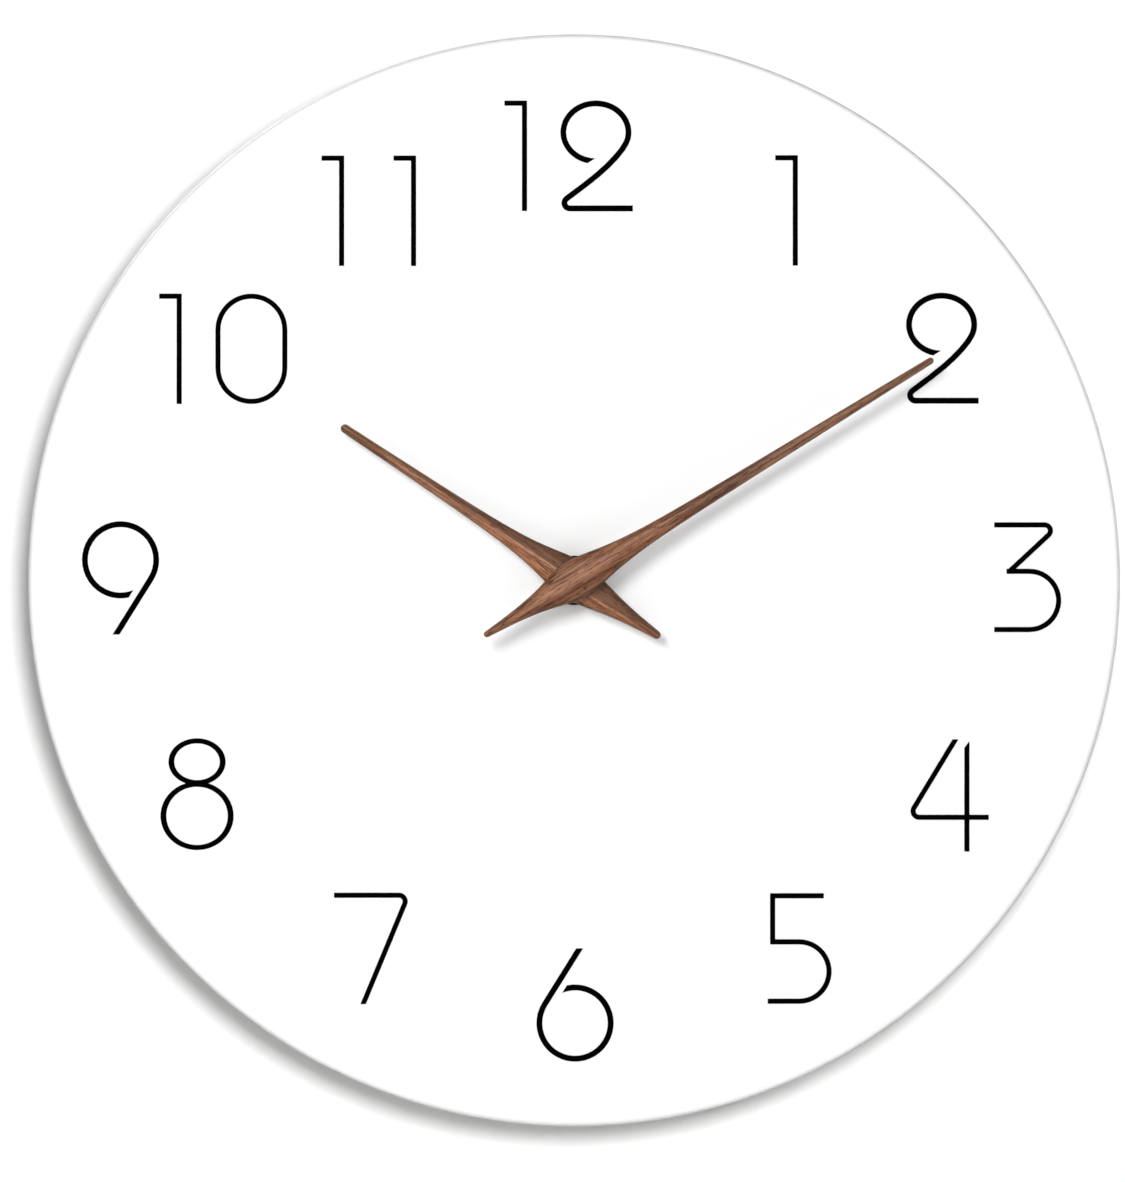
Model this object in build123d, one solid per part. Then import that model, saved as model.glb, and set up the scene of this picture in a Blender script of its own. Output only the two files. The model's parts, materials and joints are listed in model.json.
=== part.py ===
"""Frameless wall clock: a round dial board carried by a battery quartz movement.

The clock hangs on one screw.  The origin is the centre of the keyhole in the
movement's hanging tab, on the plane of the wall.  +Y points into the wall, the
dial faces -Y and +Z is up.  All lengths are millimetres, all angles degrees.
"""
from build123d import *
import os
from math import cosh, cos, pi, radians, sin, sqrt

# ------------------------------------------------------------ dial board
BOARD_DIAMETER = 300.0
BOARD_THICKNESS = 5.0
BOARD_EDGE_RADIUS = 0.8
BOARD_HOLE_RADIUS = 4.05
ARBOR_Z = -34.0             # the hands turn about this line, below the hanging hole

# ------------------------------------------------------------ printed numerals
DIGIT_HEIGHT = 30.3
STROKE = 1.4                # straight strokes
BOWL_STROKE = 1.6           # round strokes and the tails that run into them
END_CUT = 1.55              # most that is trimmed off the end of a stroke
INK_THICKNESS = 0.15

# ------------------------------------------------------------ movement case
CASE_SIZE = 56.0
CASE_DEPTH = 16.0           # from the wall to the rubber washer
CASE_WALL = 1.6
CASE_CORNER = 3.0
CASE_EDGE_RADIUS = 0.6
PARTITION = 1.2             # wall between the battery bay and the wheels
BAY_HEIGHT = 14.8
FINGER_NOTCH_RADIUS = 7.0   # in the case's lower wall, to push the cell out
RUBBER_THICKNESS = 1.0
RUBBER_RADIUS = 11.0
SNAP_HEIGHTS = (13.0, -5.0)     # snap tabs, above and below the arbor
SNAP_WIDTH = 6.0
SNAP_THICKNESS = 1.0
SNAP_PLAY = 0.1             # between a tab and the rear case
HOOK_REACH = 1.0
BOSS_WALL = 1.0             # around a bearing hole
PIVOT_HOLE_DEPTH = 0.35     # of a bearing hole, into the case wall

# ------------------------------------------------------------ hanging tab
HANG_HOLE_RADIUS = 4.5
HANG_SLOT_HALF = 1.75
HANG_SLOT_TOP = 7.0
HANG_TAB_THICKNESS = 2.4
HANG_TAB_HALF = 9.0
HANG_ROUND_HEIGHT = 1.0     # centre of the tab's rounded top
GUSSET_THICKNESS = 1.2
GUSSET_DEPTH = 9.0
GUSSET_HEIGHT = 6.0

# ------------------------------------------------------------ centre stack
BUSHING_RADIUS = 3.9
BUSHING_BORE = 2.6
BUSHING_FLANGE = 5.5
BUSHING_FLANGE_THICKNESS = 0.8
BUSHING_STANDOUT = 0.6      # in front of the nut
WASHER_PLAY = 0.1           # between a washer and the bushing
NUT_PLAY = 0.02
THREAD_PITCH = 0.75
THREAD_DEPTH = 0.35
HOUR_TUBE_RADIUS = 2.55
HOUR_TUBE_BORE = 1.75
MINUTE_ARBOR_RADIUS = 1.7
WASHER_RADIUS = 6.8
WASHER_THICKNESS = 0.8
NUT_ACROSS_FLATS = 10.0
NUT_THICKNESS = 2.2

# ------------------------------------------------------------ hands
HOUR_ANGLE = 303.5          # clockwise from twelve, seen from the front
MINUTE_ANGLE = 58.35
HOUR_LENGTH = 76.6
HOUR_TAIL = 28.2
MINUTE_LENGTH = 115.5
MINUTE_TAIL = 29.0
HOUR_HAND_THICKNESS = 3.0
MINUTE_HAND_THICKNESS = 3.6
HAND_GAP = 1.0
HOUR_HAND_GAP = 0.8         # from the bushing to the hour hand
HOUR_TUBE_SINK = 1.2        # tube end below the hour hand's front
MINUTE_ARBOR_SINK = 1.4     # arbor end inside the minute hand
HOUR_BUSH_RADIUS = 3.6
HOUR_BUSH_FLANGE_RADIUS = 4.6
MINUTE_BUSH_RADIUS = 2.7
MINUTE_BUSH_FLANGE_RADIUS = 3.4
MINUTE_BUSH_DEPTH = 1.9
BUSH_FLANGE = 0.5

# ------------------------------------------------------------ wheel train
TRAIN_MODULE = 0.3
CENTRE_TEETH = 64
THIRD_TEETH, THIRD_PINION = 60, 8
SECOND_TEETH, SECOND_PINION = 60, 8
MIDDLE_TEETH, MIDDLE_PINION = 50, 10
ROTOR_PINION = 10
MOTION_DISTANCE = 10.0
CANNON_TEETH = 12
MOTION_TEETH, MOTION_PINION = 36, 10
HOUR_TEETH = 40
SETTING_TEETH = 12
TOOTH_FILL = 0.44           # tooth thickness over the circular pitch
ADDENDUM = 0.8              # in modules
DEDENDUM = 1.1
PIVOT_RADIUS = 0.5
RUNNING_CLEARANCE = 0.05
TIP_SHARE = 0.55            # tooth thickness at the tip over that at the pitch circle
HUB_RADIUS = 2.4            # of the centre wheel
COLLAR_WALL = 0.3           # around a train arbor
BOSS_HEIGHT = 1.2
PIVOT_SINK = 0.4            # of an arbor's end in the case wall

# ------------------------------------------------------------ depths along Y
CASE_FRONT = -CASE_DEPTH
CHAMBER_FRONT = CASE_FRONT + CASE_WALL
CHAMBER_BACK = -CASE_WALL
BOARD_BACK = CASE_FRONT - RUBBER_THICKNESS
BOARD_FRONT = BOARD_BACK - BOARD_THICKNESS
WASHER_FRONT = BOARD_FRONT - WASHER_THICKNESS
NUT_FRONT = WASHER_FRONT - NUT_THICKNESS
BUSHING_FRONT = NUT_FRONT - BUSHING_STANDOUT
HOUR_HAND_BACK = BUSHING_FRONT - HOUR_HAND_GAP
HOUR_HAND_FRONT = HOUR_HAND_BACK - HOUR_HAND_THICKNESS
MINUTE_HAND_BACK = HOUR_HAND_FRONT - HAND_GAP
HOUR_TUBE_FRONT = HOUR_HAND_FRONT + HOUR_TUBE_SINK
MINUTE_ARBOR_FRONT = MINUTE_HAND_BACK - MINUTE_ARBOR_SINK

# (rear face, thickness) of each toothed ring
HOUR_WHEEL_LAYER = (-13.1, 1.0)
MOTION_PINION_LAYER = (-12.6, 1.5)
MOTION_WHEEL_LAYER = (-11.8, 0.8)
CANNON_LAYER = (-11.6, 1.2)
CENTRE_WHEEL_LAYER = (-10.2, 0.8)
THIRD_PINION_LAYER = (-10.0, 1.2)
THIRD_WHEEL_LAYER = (-8.7, 0.7)
SECOND_PINION_LAYER = (-8.5, 1.1)
SECOND_WHEEL_LAYER = (-7.2, 0.7)
MIDDLE_PINION_LAYER = (-7.0, 1.1)
MIDDLE_WHEEL_LAYER = (-5.7, 0.7)
ROTOR_PINION_LAYER = (-5.5, 1.1)
MAGNET_LAYER = (-8.6, 2.2)
MOTION_POST_BACK = -11.3
MAGNET_RADIUS = 2.9
CENTRE_REAR_RADIUS = 1.0

# ------------------------------------------------------------ motor
STATOR_LAYER = (-9.0, 1.0)
STATOR_HOLE = 3.3
STATOR_RING_RADIUS = 4.6
STATOR_ARM = 2.6            # width of the arms to the coil's ends
STATOR_LEFT = 3.0           # from the rotor
STATOR_SPINE_RIGHT = 17.4
STATOR_RIGHT = 1.5          # beyond the coil's axis
COIL_WINDOW = 5.6
CORE_WIDTH = 2.0
CORE_THICKNESS = 1.2
COIL_X = 22.8
COIL_TOP = -11.5
COIL_BOTTOM = -31.8
BOBBIN_FLANGE = 7.0
BOBBIN_FLANGE_THICKNESS = 0.8
BOBBIN_TUBE = 1.7
WINDING_RADIUS = 3.1
TERMINAL_RADIUS = 0.3
TERMINAL_SPREAD = 1.8       # from the coil's axis
SCREW_RADIUS = 0.6
SCREW_HEAD_RADIUS = 1.2
SCREW_HEAD_THICKNESS = 0.8
SCREW_DISTANCE = 1.6        # beyond the bobbin's ends

# ------------------------------------------------------------ circuit board
PCB_BACK = -2.8
PCB_THICKNESS = 0.8
PCB_HALF_WIDTH = 25.9
PCB_TOP = -8.4
PCB_BAR_BOTTOM = -13.4
PCB_BLOCK_BOTTOM = -43.2
PCB_BLOCK_RIGHT = -12.4
PCB_PEGS = ((-23.0, -11.0), (-14.6, -40.6))
PEG_RADIUS = 0.6
PEG_SHOULDER_RADIUS = 1.2
PEG_LENGTH = 1.4
CHIP_PLACE = (-19.0, -21.0)
CHIP_RADIUS = 2.6
CHIP_HEIGHT = 1.1
CRYSTAL_PLACE = (-21.0, -33.0)
CRYSTAL_RADIUS = 1.0
CRYSTAL_LENGTH = 6.2
LEG_RADIUS = 0.15
LEG_SPREAD = 0.4            # from the can's axis
LEG_LENGTH = 2.0

# ------------------------------------------------------------ setting knob
KNOB_RADIUS = 5.0
KNOB_THICKNESS = 2.6
KNOB_RECESS_RADIUS = 5.7
KNOB_RECESS_DEPTH = 3.0
KNOB_FLUTES = 24
FLUTE_RADIUS = 0.4
KNOB_BACK = -0.2
CUP_WALL = 0.8              # around the knob's recess

# ------------------------------------------------------------ AA cell
CELL_RADIUS = 7.0
CELL_Y = -7.3
CELL_LEFT = -24.7
CELL_RIGHT = 24.8
SLEEVE_THICKNESS = 0.15
BUTTON_RADIUS = 2.75
BUTTON_LENGTH = 1.0
BUTTON_SEAT = 0.6           # depth of the button in the can's end
CONTACT_THICKNESS = 0.4
CONTACT_GAP = 0.1           # between a contact and the case
CONTACT_DEPTHS = (-12.0, -3.0)
CONTACT_HALF_HEIGHT = 5.5
TAIL_FRONT = -4.4
LEAF_HALF_HEIGHT = 5.0
LEAF_THICKNESS = 0.3
LEAF_BOW = 0.6
LEAF_BACK = -4.5
LEAF_WIDTH = 6.0

CASE_BOTTOM = ARBOR_Z - CASE_SIZE / 2
CASE_TOP = ARBOR_Z + CASE_SIZE / 2
INNER_HALF = CASE_SIZE / 2 - CASE_WALL
BAY_BOTTOM = CASE_BOTTOM + CASE_WALL
BAY_TOP = BAY_BOTTOM + BAY_HEIGHT
CELL_Z = BAY_BOTTOM + BAY_HEIGHT / 2
CHAMBER_BOTTOM = BAY_TOP + PARTITION
CHAMBER_TOP = CASE_TOP - CASE_WALL


# ============================================================ helpers
def slab(outline, back, thickness):
    """A flat piece: an X-Z outline whose rear face lies at y = back."""
    rear_plane = Plane(origin=(0, back, 0), x_dir=(1, 0, 0), z_dir=(0, -1, 0))
    return extrude(rear_plane * outline, thickness)


def rod(centre, radius, back, front):
    """A round bar along Y about the point (x, z)."""
    return slab(Pos(*centre) * Circle(radius), back, back - front)


def block(x_range, y_range, z_range):
    """A box given by its limits along each axis."""
    size = [high - low for low, high in (x_range, y_range, z_range)]
    middle = [(high + low) / 2 for low, high in (x_range, y_range, z_range)]
    return Pos(*middle) * Box(*size)


def across(start, distance, angle):
    """The point at a distance and an angle (from +X towards +Z) from another."""
    return (start[0] + distance * cos(radians(angle)), start[1] + distance * sin(radians(angle)))


def centre_distance(wheel_teeth, pinion_teeth):
    return TRAIN_MODULE * (wheel_teeth + pinion_teeth) / 2


def gear_outline(centre, teeth, module, tooth_angle):
    """A toothed disc with one tooth centred on tooth_angle."""
    pitch_radius = module * teeth / 2
    tip_radius = pitch_radius + ADDENDUM * module
    root_radius = pitch_radius - DEDENDUM * module
    half_tooth = TOOTH_FILL * pi / teeth
    flank = ((root_radius, half_tooth * pitch_radius / root_radius),
             (pitch_radius, half_tooth),
             (tip_radius, TIP_SHARE * half_tooth))
    points = []
    for tooth in range(teeth):
        middle = radians(tooth_angle) + 2 * pi * tooth / teeth
        rising = [(radius, middle - half) for radius, half in flank]
        falling = [(radius, middle + half) for radius, half in reversed(flank)]
        for radius, angle in rising + falling:
            points.append((centre[0] + radius * cos(angle), centre[1] + radius * sin(angle)))
    return make_face(Polyline(*points, close=True))


def driving_gear(centre, teeth, module, mesh_angle, layer):
    """A toothed ring with a tooth on the line of centres."""
    return slab(gear_outline(centre, teeth, module, mesh_angle), *layer)


def driven_gear(centre, teeth, module, mesh_angle, layer):
    """A toothed ring with a gap that takes the tooth arriving along mesh_angle."""
    gap_angle = mesh_angle + 180
    return slab(gear_outline(centre, teeth, module, gap_angle + 180 / teeth), *layer)


# ------------------------------------------------------------ arbor positions (x, z)
THIRD_MESH = 150.0
SECOND_MESH = 60.0
MIDDLE_MESH = 0.0
ROTOR_MESH = -10.0
MOTION_MESH = 20.0
SETTING_MESH = -40.0
CENTRE = (0.0, ARBOR_Z)
THIRD = across(CENTRE, centre_distance(CENTRE_TEETH, THIRD_PINION), THIRD_MESH)
SECOND = across(THIRD, centre_distance(THIRD_TEETH, SECOND_PINION), SECOND_MESH)
MIDDLE = across(SECOND, centre_distance(SECOND_TEETH, MIDDLE_PINION), MIDDLE_MESH)
ROTOR = across(MIDDLE, centre_distance(MIDDLE_TEETH, ROTOR_PINION), ROTOR_MESH)
MOTION = across(CENTRE, MOTION_DISTANCE, MOTION_MESH)
MINUTE_MODULE = 2 * MOTION_DISTANCE / (CANNON_TEETH + MOTION_TEETH)
HOUR_MODULE = 2 * MOTION_DISTANCE / (MOTION_PINION + HOUR_TEETH)
SETTING = across(MOTION, MINUTE_MODULE * (MOTION_TEETH + SETTING_TEETH) / 2, SETTING_MESH)
TRAIN_ARBORS = (THIRD, SECOND, MIDDLE, ROTOR)
POST_RADIUS = 0.8
SETTING_SHAFT_RADIUS = 1.0


# ============================================================ dial
def dial_board():
    disc = rod(CENTRE, BOARD_DIAMETER / 2, BOARD_BACK, BOARD_FRONT)
    disc = fillet(disc.edges(), BOARD_EDGE_RADIUS)
    return disc - rod(CENTRE, BOARD_HOLE_RADIUS, BOARD_BACK + 1, BOARD_FRONT - 1)


def stroke(*lines, width=STROKE):
    """A pen stroke of constant width along connected lines and arcs."""
    return trace(Wire(list(lines)), width)


def end_cut(point, angle):
    """A rectangle on the right of a line through a point, which trims the end of a stroke."""
    return Pos(*point) * Rot(0, 0, angle) * Pos(0, -END_CUT / 2) * Rectangle(4 * END_CUT, END_CUT)


def one():
    flag_height = DIGIT_HEIGHT - STROKE / 2
    stem = Pos(5.5, DIGIT_HEIGHT / 2) * Rectangle(STROKE, DIGIT_HEIGHT)
    flag = Pos(2.75, flag_height) * Rectangle(5.5, STROKE)
    return stem + flag


def two():
    """A round bowl that sweeps down to the foot; its free end is cut along the sweep."""
    bowl = EllipticalCenterArc((9.75, 21.6), 8.95, 7.95, start_angle=270, arc_size=-282)
    foot = FilletPolyline((6.9, 7.3), (-1.9, 0.7), (19.9, 0.7), radius=1.5)
    neck = Bezier(bowl @ 1, bowl @ 1 + 3.0 * (bowl % 1), foot @ 0 - 7.8 * (foot % 0), foot @ 0)
    return stroke(bowl, neck, *foot.edges(), width=BOWL_STROKE) - end_cut((8.5, 13.78), 32)


def three():
    centre, radius = (9.9, 8.75), 8.0
    zigzag = FilletPolyline((0.2, 29.5), (18.1, 29.5), (4.4, 16.75), radius=1.6)
    bowl = CenterArc(centre, radius, -90, 180)
    top = stroke(*zigzag.edges())
    middle = stroke(Line((3.6, centre[1] + radius), (centre[0], centre[1] + radius)), bowl,
                    Line((centre[0], centre[1] - radius), (0.2, centre[1] - radius)))
    return top + middle


def four():
    """The slope ends level and the stem ends parallel to the slope."""
    bar_height = 8.8
    slope = FilletPolyline((13.3, 31.25), (-0.3, bar_height), (21.8, bar_height), radius=1.7)
    stem = stroke(Line((15.8, -0.6), (15.8, 30.0))) - end_cut((15.8, 28.8), 233)
    return stroke(*slope.edges()) - end_cut((12.7, 30.2), 180) + stem


def five():
    centre, radius = (8.7, 8.75), 8.15
    left = 1.35
    top = Line((left - STROKE / 2, 29.55), (15.4, 29.55))
    stem = Line((left, 29.6), (left, centre[1] + radius - STROKE / 2))
    middle = Line((left - STROKE / 2, centre[1] + radius), (centre[0], centre[1] + radius))
    bottom = Line((centre[0], centre[1] - radius), (0.0, centre[1] - radius))
    bowl = CenterArc(centre, radius, -90, 180)
    return stroke(top) + stroke(stem) + stroke(middle, bowl, bottom)


def six():
    """An open ring whose left side runs up along a tangent line with a level end."""
    centre, radius = (10.6, 10.0), 9.8
    touch_angle = 148.0
    tail_angle = touch_angle - 90
    ring_start = 115.0
    touch = across(centre, radius, touch_angle)
    tail = Line(across(touch, 19.2, tail_angle), touch)
    bowl = CenterArc(centre, radius, touch_angle - 360, 360 - (touch_angle - ring_start))
    figure = stroke(tail, bowl, width=BOWL_STROKE)
    return figure - end_cut((11.8, 30.5), 180) - end_cut((7.9, 19.6), tail_angle + 180)


def seven():
    bend = FilletPolyline((0.1, 29.7), (20.5, 29.7), (7.78, -1.0), radius=1.7)
    return stroke(*bend.edges()) - end_cut((8.1, -0.2), 0)


def ring(centre, x_radius, y_radius):
    outer = Ellipse(x_radius + BOWL_STROKE / 2, y_radius + STROKE / 2)
    inner = Ellipse(x_radius - BOWL_STROKE / 2, y_radius - STROKE / 2)
    return Pos(*centre) * (outer - inner)


def eight():
    return ring((10.0, 9.2), 9.25, 8.7) + ring((10.0, 24.05), 7.05, 5.75)


def nine():
    return Pos(21.2, 29.9) * Rot(0, 0, 180) * six()


def zero():
    width, height = 19.75, DIGIT_HEIGHT
    outer = SlotOverall(height, width, rotation=90)
    inner = SlotOverall(height - 2 * STROKE, width - 2 * STROKE, rotation=90)
    return Pos(width / 2, height / 2) * (outer - inner)


DIGITS = {"0": (zero, 19.75), "1": (one, 6.25), "2": (two, 19.8), "3": (three, 18.6), "4": (four, 21.6),
          "5": (five, 17.6), "6": (six, 21.2), "7": (seven, 20.6), "8": (eight, 20.0), "9": (nine, 21.2)}

# middle of each hour's numeral, right of and above the arbor
NUMERAL_PLACES = {12: (-1.6, 116.6), 1: (58.3, 101.6), 2: (101.0, 63.8), 3: (124.4, 0.9),
                  4: (102.8, -58.7), 5: (61.9, -101.0), 6: (0.2, -116.4), 7: (-55.8, -101.0),
                  8: (-103.6, -58.7), 9: (-124.6, 0.9), 10: (-96.4, 63.6), 11: (-56.4, 101.5)}
DIGIT_GAPS = {10: 9.2, 11: 13.5, 12: 9.1}


def numeral(hour):
    """The one or two digits of an hour, centred on the local origin."""
    digits = [DIGITS[character] for character in str(hour)]
    gap = DIGIT_GAPS.get(hour, 0.0)
    width = sum(digit_width for _, digit_width in digits) + gap * (len(digits) - 1)
    left = -width / 2
    outlines = []
    for draw, digit_width in digits:
        outlines.append(Pos(left, -DIGIT_HEIGHT / 2) * draw())
        left += digit_width + gap
    return outlines


def dial_numerals():
    """A printed layer of ink: one thin solid for each digit."""
    solids = []
    for hour, (right, above) in NUMERAL_PLACES.items():
        for outline in numeral(hour):
            solids.append(slab(Pos(right, ARBOR_Z + above) * outline, BOARD_FRONT, INK_THICKNESS))
    return Compound([solid for group in solids for solid in group.solids()])


# ============================================================ centre stack
def threaded_bushing():
    """A tube with an external thread, drawn as V rings, and a flange inside the case."""
    flange_front = CHAMBER_FRONT - BUSHING_FLANGE_THICKNESS
    end_chamfer = 0.2
    thread_start = BOARD_BACK
    turns = int((thread_start - BUSHING_FRONT) / THREAD_PITCH)
    profile = [(BUSHING_BORE, CHAMBER_FRONT), (BUSHING_FLANGE, CHAMBER_FRONT),
               (BUSHING_FLANGE, flange_front), (BUSHING_RADIUS, flange_front)]
    for turn in range(turns):
        crest = thread_start - turn * THREAD_PITCH
        profile.append((BUSHING_RADIUS, crest))
        profile.append((BUSHING_RADIUS - THREAD_DEPTH, crest - THREAD_PITCH / 2))
    profile += [(BUSHING_RADIUS, thread_start - turns * THREAD_PITCH),
                (BUSHING_RADIUS - end_chamfer, BUSHING_FRONT), (BUSHING_BORE, BUSHING_FRONT)]
    half_section = make_face(Polyline(*profile, close=True))
    return Pos(0, 0, ARBOR_Z) * revolve(half_section, Axis.Y)


def rubber_washer():
    disc = Circle(RUBBER_RADIUS) - Circle(BUSHING_RADIUS + WASHER_PLAY)
    return slab(Pos(*CENTRE) * disc, CASE_FRONT, RUBBER_THICKNESS)


def dress_washer():
    disc = slab(Pos(*CENTRE) * Circle(WASHER_RADIUS), BOARD_FRONT, WASHER_THICKNESS)
    front_chamfer = 0.25
    disc = chamfer(disc.faces().sort_by(Axis.Y)[0].edges(), front_chamfer)
    return disc - rod(CENTRE, BUSHING_RADIUS + WASHER_PLAY, BOARD_FRONT + 1, WASHER_FRONT - 1)


def hex_nut():
    corner_radius = NUT_ACROSS_FLATS / sqrt(3)
    body = slab(Pos(*CENTRE) * RegularPolygon(corner_radius, 6), WASHER_FRONT, NUT_THICKNESS)
    return body - rod(CENTRE, BUSHING_RADIUS + NUT_PLAY, WASHER_FRONT + 1, NUT_FRONT - 1)


def hour_wheel():
    """The hour wheel and the tube that carries the hour hand."""
    mesh = MOTION_MESH + 180
    toothed = driven_gear(CENTRE, HOUR_TEETH, HOUR_MODULE, mesh, HOUR_WHEEL_LAYER)
    tube = rod(CENTRE, HOUR_TUBE_RADIUS, HOUR_WHEEL_LAYER[0], HOUR_TUBE_FRONT)
    return toothed + tube - rod(CENTRE, HOUR_TUBE_BORE, HOUR_WHEEL_LAYER[0] + 1, HOUR_TUBE_FRONT - 1)


def minute_arbor():
    """The steel arbor of the minute hand with its cannon pinion."""
    pinion = driving_gear(CENTRE, CANNON_TEETH, MINUTE_MODULE, MOTION_MESH, CANNON_LAYER)
    front = rod(CENTRE, MINUTE_ARBOR_RADIUS, CANNON_LAYER[0], MINUTE_ARBOR_FRONT)
    rear = rod(CENTRE, CENTRE_REAR_RADIUS, CHAMBER_BACK - PIVOT_SINK, CANNON_LAYER[0])
    return pinion + front + rear


def centre_wheel():
    toothed = driving_gear(CENTRE, CENTRE_TEETH, TRAIN_MODULE, THIRD_MESH, CENTRE_WHEEL_LAYER)
    hub = rod(CENTRE, HUB_RADIUS, CENTRE_WHEEL_LAYER[0], CANNON_LAYER[0])
    return toothed + hub - rod(CENTRE, CENTRE_REAR_RADIUS, CENTRE_WHEEL_LAYER[0] + 1, CANNON_LAYER[0] - 1)


def clutch_spring():
    """The spring washer that lets the hands be set against the train."""
    thickness = 0.4
    notch_length, notch_width = 1.2, 0.8
    outline = Circle(HUB_RADIUS) - Circle(CENTRE_REAR_RADIUS)
    for quarter in range(4):
        outline -= Rot(0, 0, 90 * quarter) * Pos(HUB_RADIUS - 0.2, 0) * Rectangle(notch_length, notch_width)
    return slab(Pos(*CENTRE) * outline, CENTRE_WHEEL_LAYER[0] + thickness, thickness)


def motion_wheel():
    """The loose wheel and pinion that gear the hour wheel down from the cannon pinion."""
    wheel = driven_gear(MOTION, MOTION_TEETH, MINUTE_MODULE, MOTION_MESH, MOTION_WHEEL_LAYER)
    pinion = driving_gear(MOTION, MOTION_PINION, HOUR_MODULE, MOTION_MESH + 180, MOTION_PINION_LAYER)
    bore = rod(MOTION, POST_RADIUS + RUNNING_CLEARANCE, MOTION_WHEEL_LAYER[0] + 1, CHAMBER_FRONT - 1)
    return wheel + pinion - bore


# ============================================================ going train
ARBOR_ENDS = (CHAMBER_BACK - PIVOT_SINK, CHAMBER_FRONT + PIVOT_SINK)


def train_wheel(centre, pinion_teeth, pinion_mesh, pinion_layer, wheel_teeth, wheel_mesh, wheel_layer):
    """One moulded wheel: a driven pinion, a driving wheel and the arbor they share."""
    arbor = rod(centre, PIVOT_RADIUS, *ARBOR_ENDS)
    pinion = driven_gear(centre, pinion_teeth, TRAIN_MODULE, pinion_mesh, pinion_layer)
    wheel = driving_gear(centre, wheel_teeth, TRAIN_MODULE, wheel_mesh, wheel_layer)
    collar = rod(centre, PIVOT_RADIUS + COLLAR_WALL, wheel_layer[0], pinion_layer[0])
    return arbor + pinion + wheel + collar


def third_wheel():
    return train_wheel(THIRD, THIRD_PINION, THIRD_MESH, THIRD_PINION_LAYER,
                       THIRD_TEETH, SECOND_MESH, THIRD_WHEEL_LAYER)


def second_wheel():
    return train_wheel(SECOND, SECOND_PINION, SECOND_MESH, SECOND_PINION_LAYER,
                       SECOND_TEETH, MIDDLE_MESH, SECOND_WHEEL_LAYER)


def middle_wheel():
    return train_wheel(MIDDLE, MIDDLE_PINION, MIDDLE_MESH, MIDDLE_PINION_LAYER,
                       MIDDLE_TEETH, ROTOR_MESH, MIDDLE_WHEEL_LAYER)


def rotor_pinion():
    """The rotor's plastic pinion and arbor, with a spindle for the magnet."""
    pinion = driven_gear(ROTOR, ROTOR_PINION, TRAIN_MODULE, ROTOR_MESH, ROTOR_PINION_LAYER)
    return pinion + rod(ROTOR, PIVOT_RADIUS, *ARBOR_ENDS)


def rotor_magnet():
    ring_outline = Circle(MAGNET_RADIUS) - Circle(PIVOT_RADIUS)
    return slab(Pos(*ROTOR) * ring_outline, *MAGNET_LAYER)


# ============================================================ stepping motor
def core_ends():
    """The two screw places, above and below the coil."""
    return ((COIL_X, COIL_TOP + SCREW_DISTANCE), (COIL_X, COIL_BOTTOM - SCREW_DISTANCE))


def stator():
    """A flat C of soft iron around the rotor, joined to both ends of the coil core."""
    left, right = ROTOR[0] - STATOR_LEFT, COIL_X + STATOR_RIGHT
    upper, lower = core_ends()
    middle = (upper[1] + lower[1]) / 2
    spine = Rectangle(STATOR_SPINE_RIGHT - left, upper[1] - lower[1])
    window = Rectangle(COIL_WINDOW, COIL_TOP - COIL_BOTTOM + 0.4)
    outline = Pos((left + STATOR_SPINE_RIGHT) / 2, middle) * spine + Pos(*ROTOR) * Circle(STATOR_RING_RADIUS)
    for _, height in (upper, lower):
        outline += Pos((left + right) / 2, height) * Rectangle(right - left, STATOR_ARM)
    outline -= Pos(*ROTOR) * Circle(STATOR_HOLE)
    outline -= Pos(COIL_X - 1.0, middle) * window
    for end in (upper, lower):
        outline -= Pos(*end) * Circle(SCREW_RADIUS)
    return slab(outline, *STATOR_LAYER)


def coil_core():
    upper, lower = core_ends()
    half_end = STATOR_ARM / 2
    back = STATOR_LAYER[0] + CORE_THICKNESS
    bar = block((COIL_X - CORE_WIDTH / 2, COIL_X + CORE_WIDTH / 2), (STATOR_LAYER[0], back),
                (lower[1] - half_end, upper[1] + half_end))
    for end in (upper, lower):
        bar -= rod(end, SCREW_RADIUS, back + 1, STATOR_LAYER[0] - 1)
    return bar


def stator_screws():
    """Two pan-head screws that clamp the coil core to the stator."""
    head_back = STATOR_LAYER[0] - STATOR_LAYER[1]
    slot_floor, slot_width = head_back - 0.5, 0.4
    screws = []
    for end in core_ends():
        shank = rod(end, SCREW_RADIUS, STATOR_LAYER[0] + CORE_THICKNESS, head_back)
        head = rod(end, SCREW_HEAD_RADIUS, head_back, head_back - SCREW_HEAD_THICKNESS)
        slot = slab(Pos(*end) * Rectangle(2.2 * SCREW_HEAD_RADIUS, slot_width), slot_floor, 0.4)
        screws.append(shank + head - slot)
    return Compound([screw.solids()[0] for screw in screws])


def coil_axis_y():
    return STATOR_LAYER[0] + CORE_THICKNESS / 2


def upright(outline, bottom, height):
    """A piece extruded along Z about the coil's axis."""
    return Pos(COIL_X, coil_axis_y(), bottom) * extrude(outline, height)


def coil_terminals():
    """Two pins that carry the coil's ends to the circuit board."""
    height = COIL_TOP - BOBBIN_FLANGE_THICKNESS / 2
    back, front = PCB_BACK + 0.3, coil_axis_y() + BOBBIN_FLANGE / 2 - 1.2
    pins = [rod((COIL_X + side * TERMINAL_SPREAD, height), TERMINAL_RADIUS, back, front) for side in (-1, 1)]
    return Compound([pin.solids()[0] for pin in pins])


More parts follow.
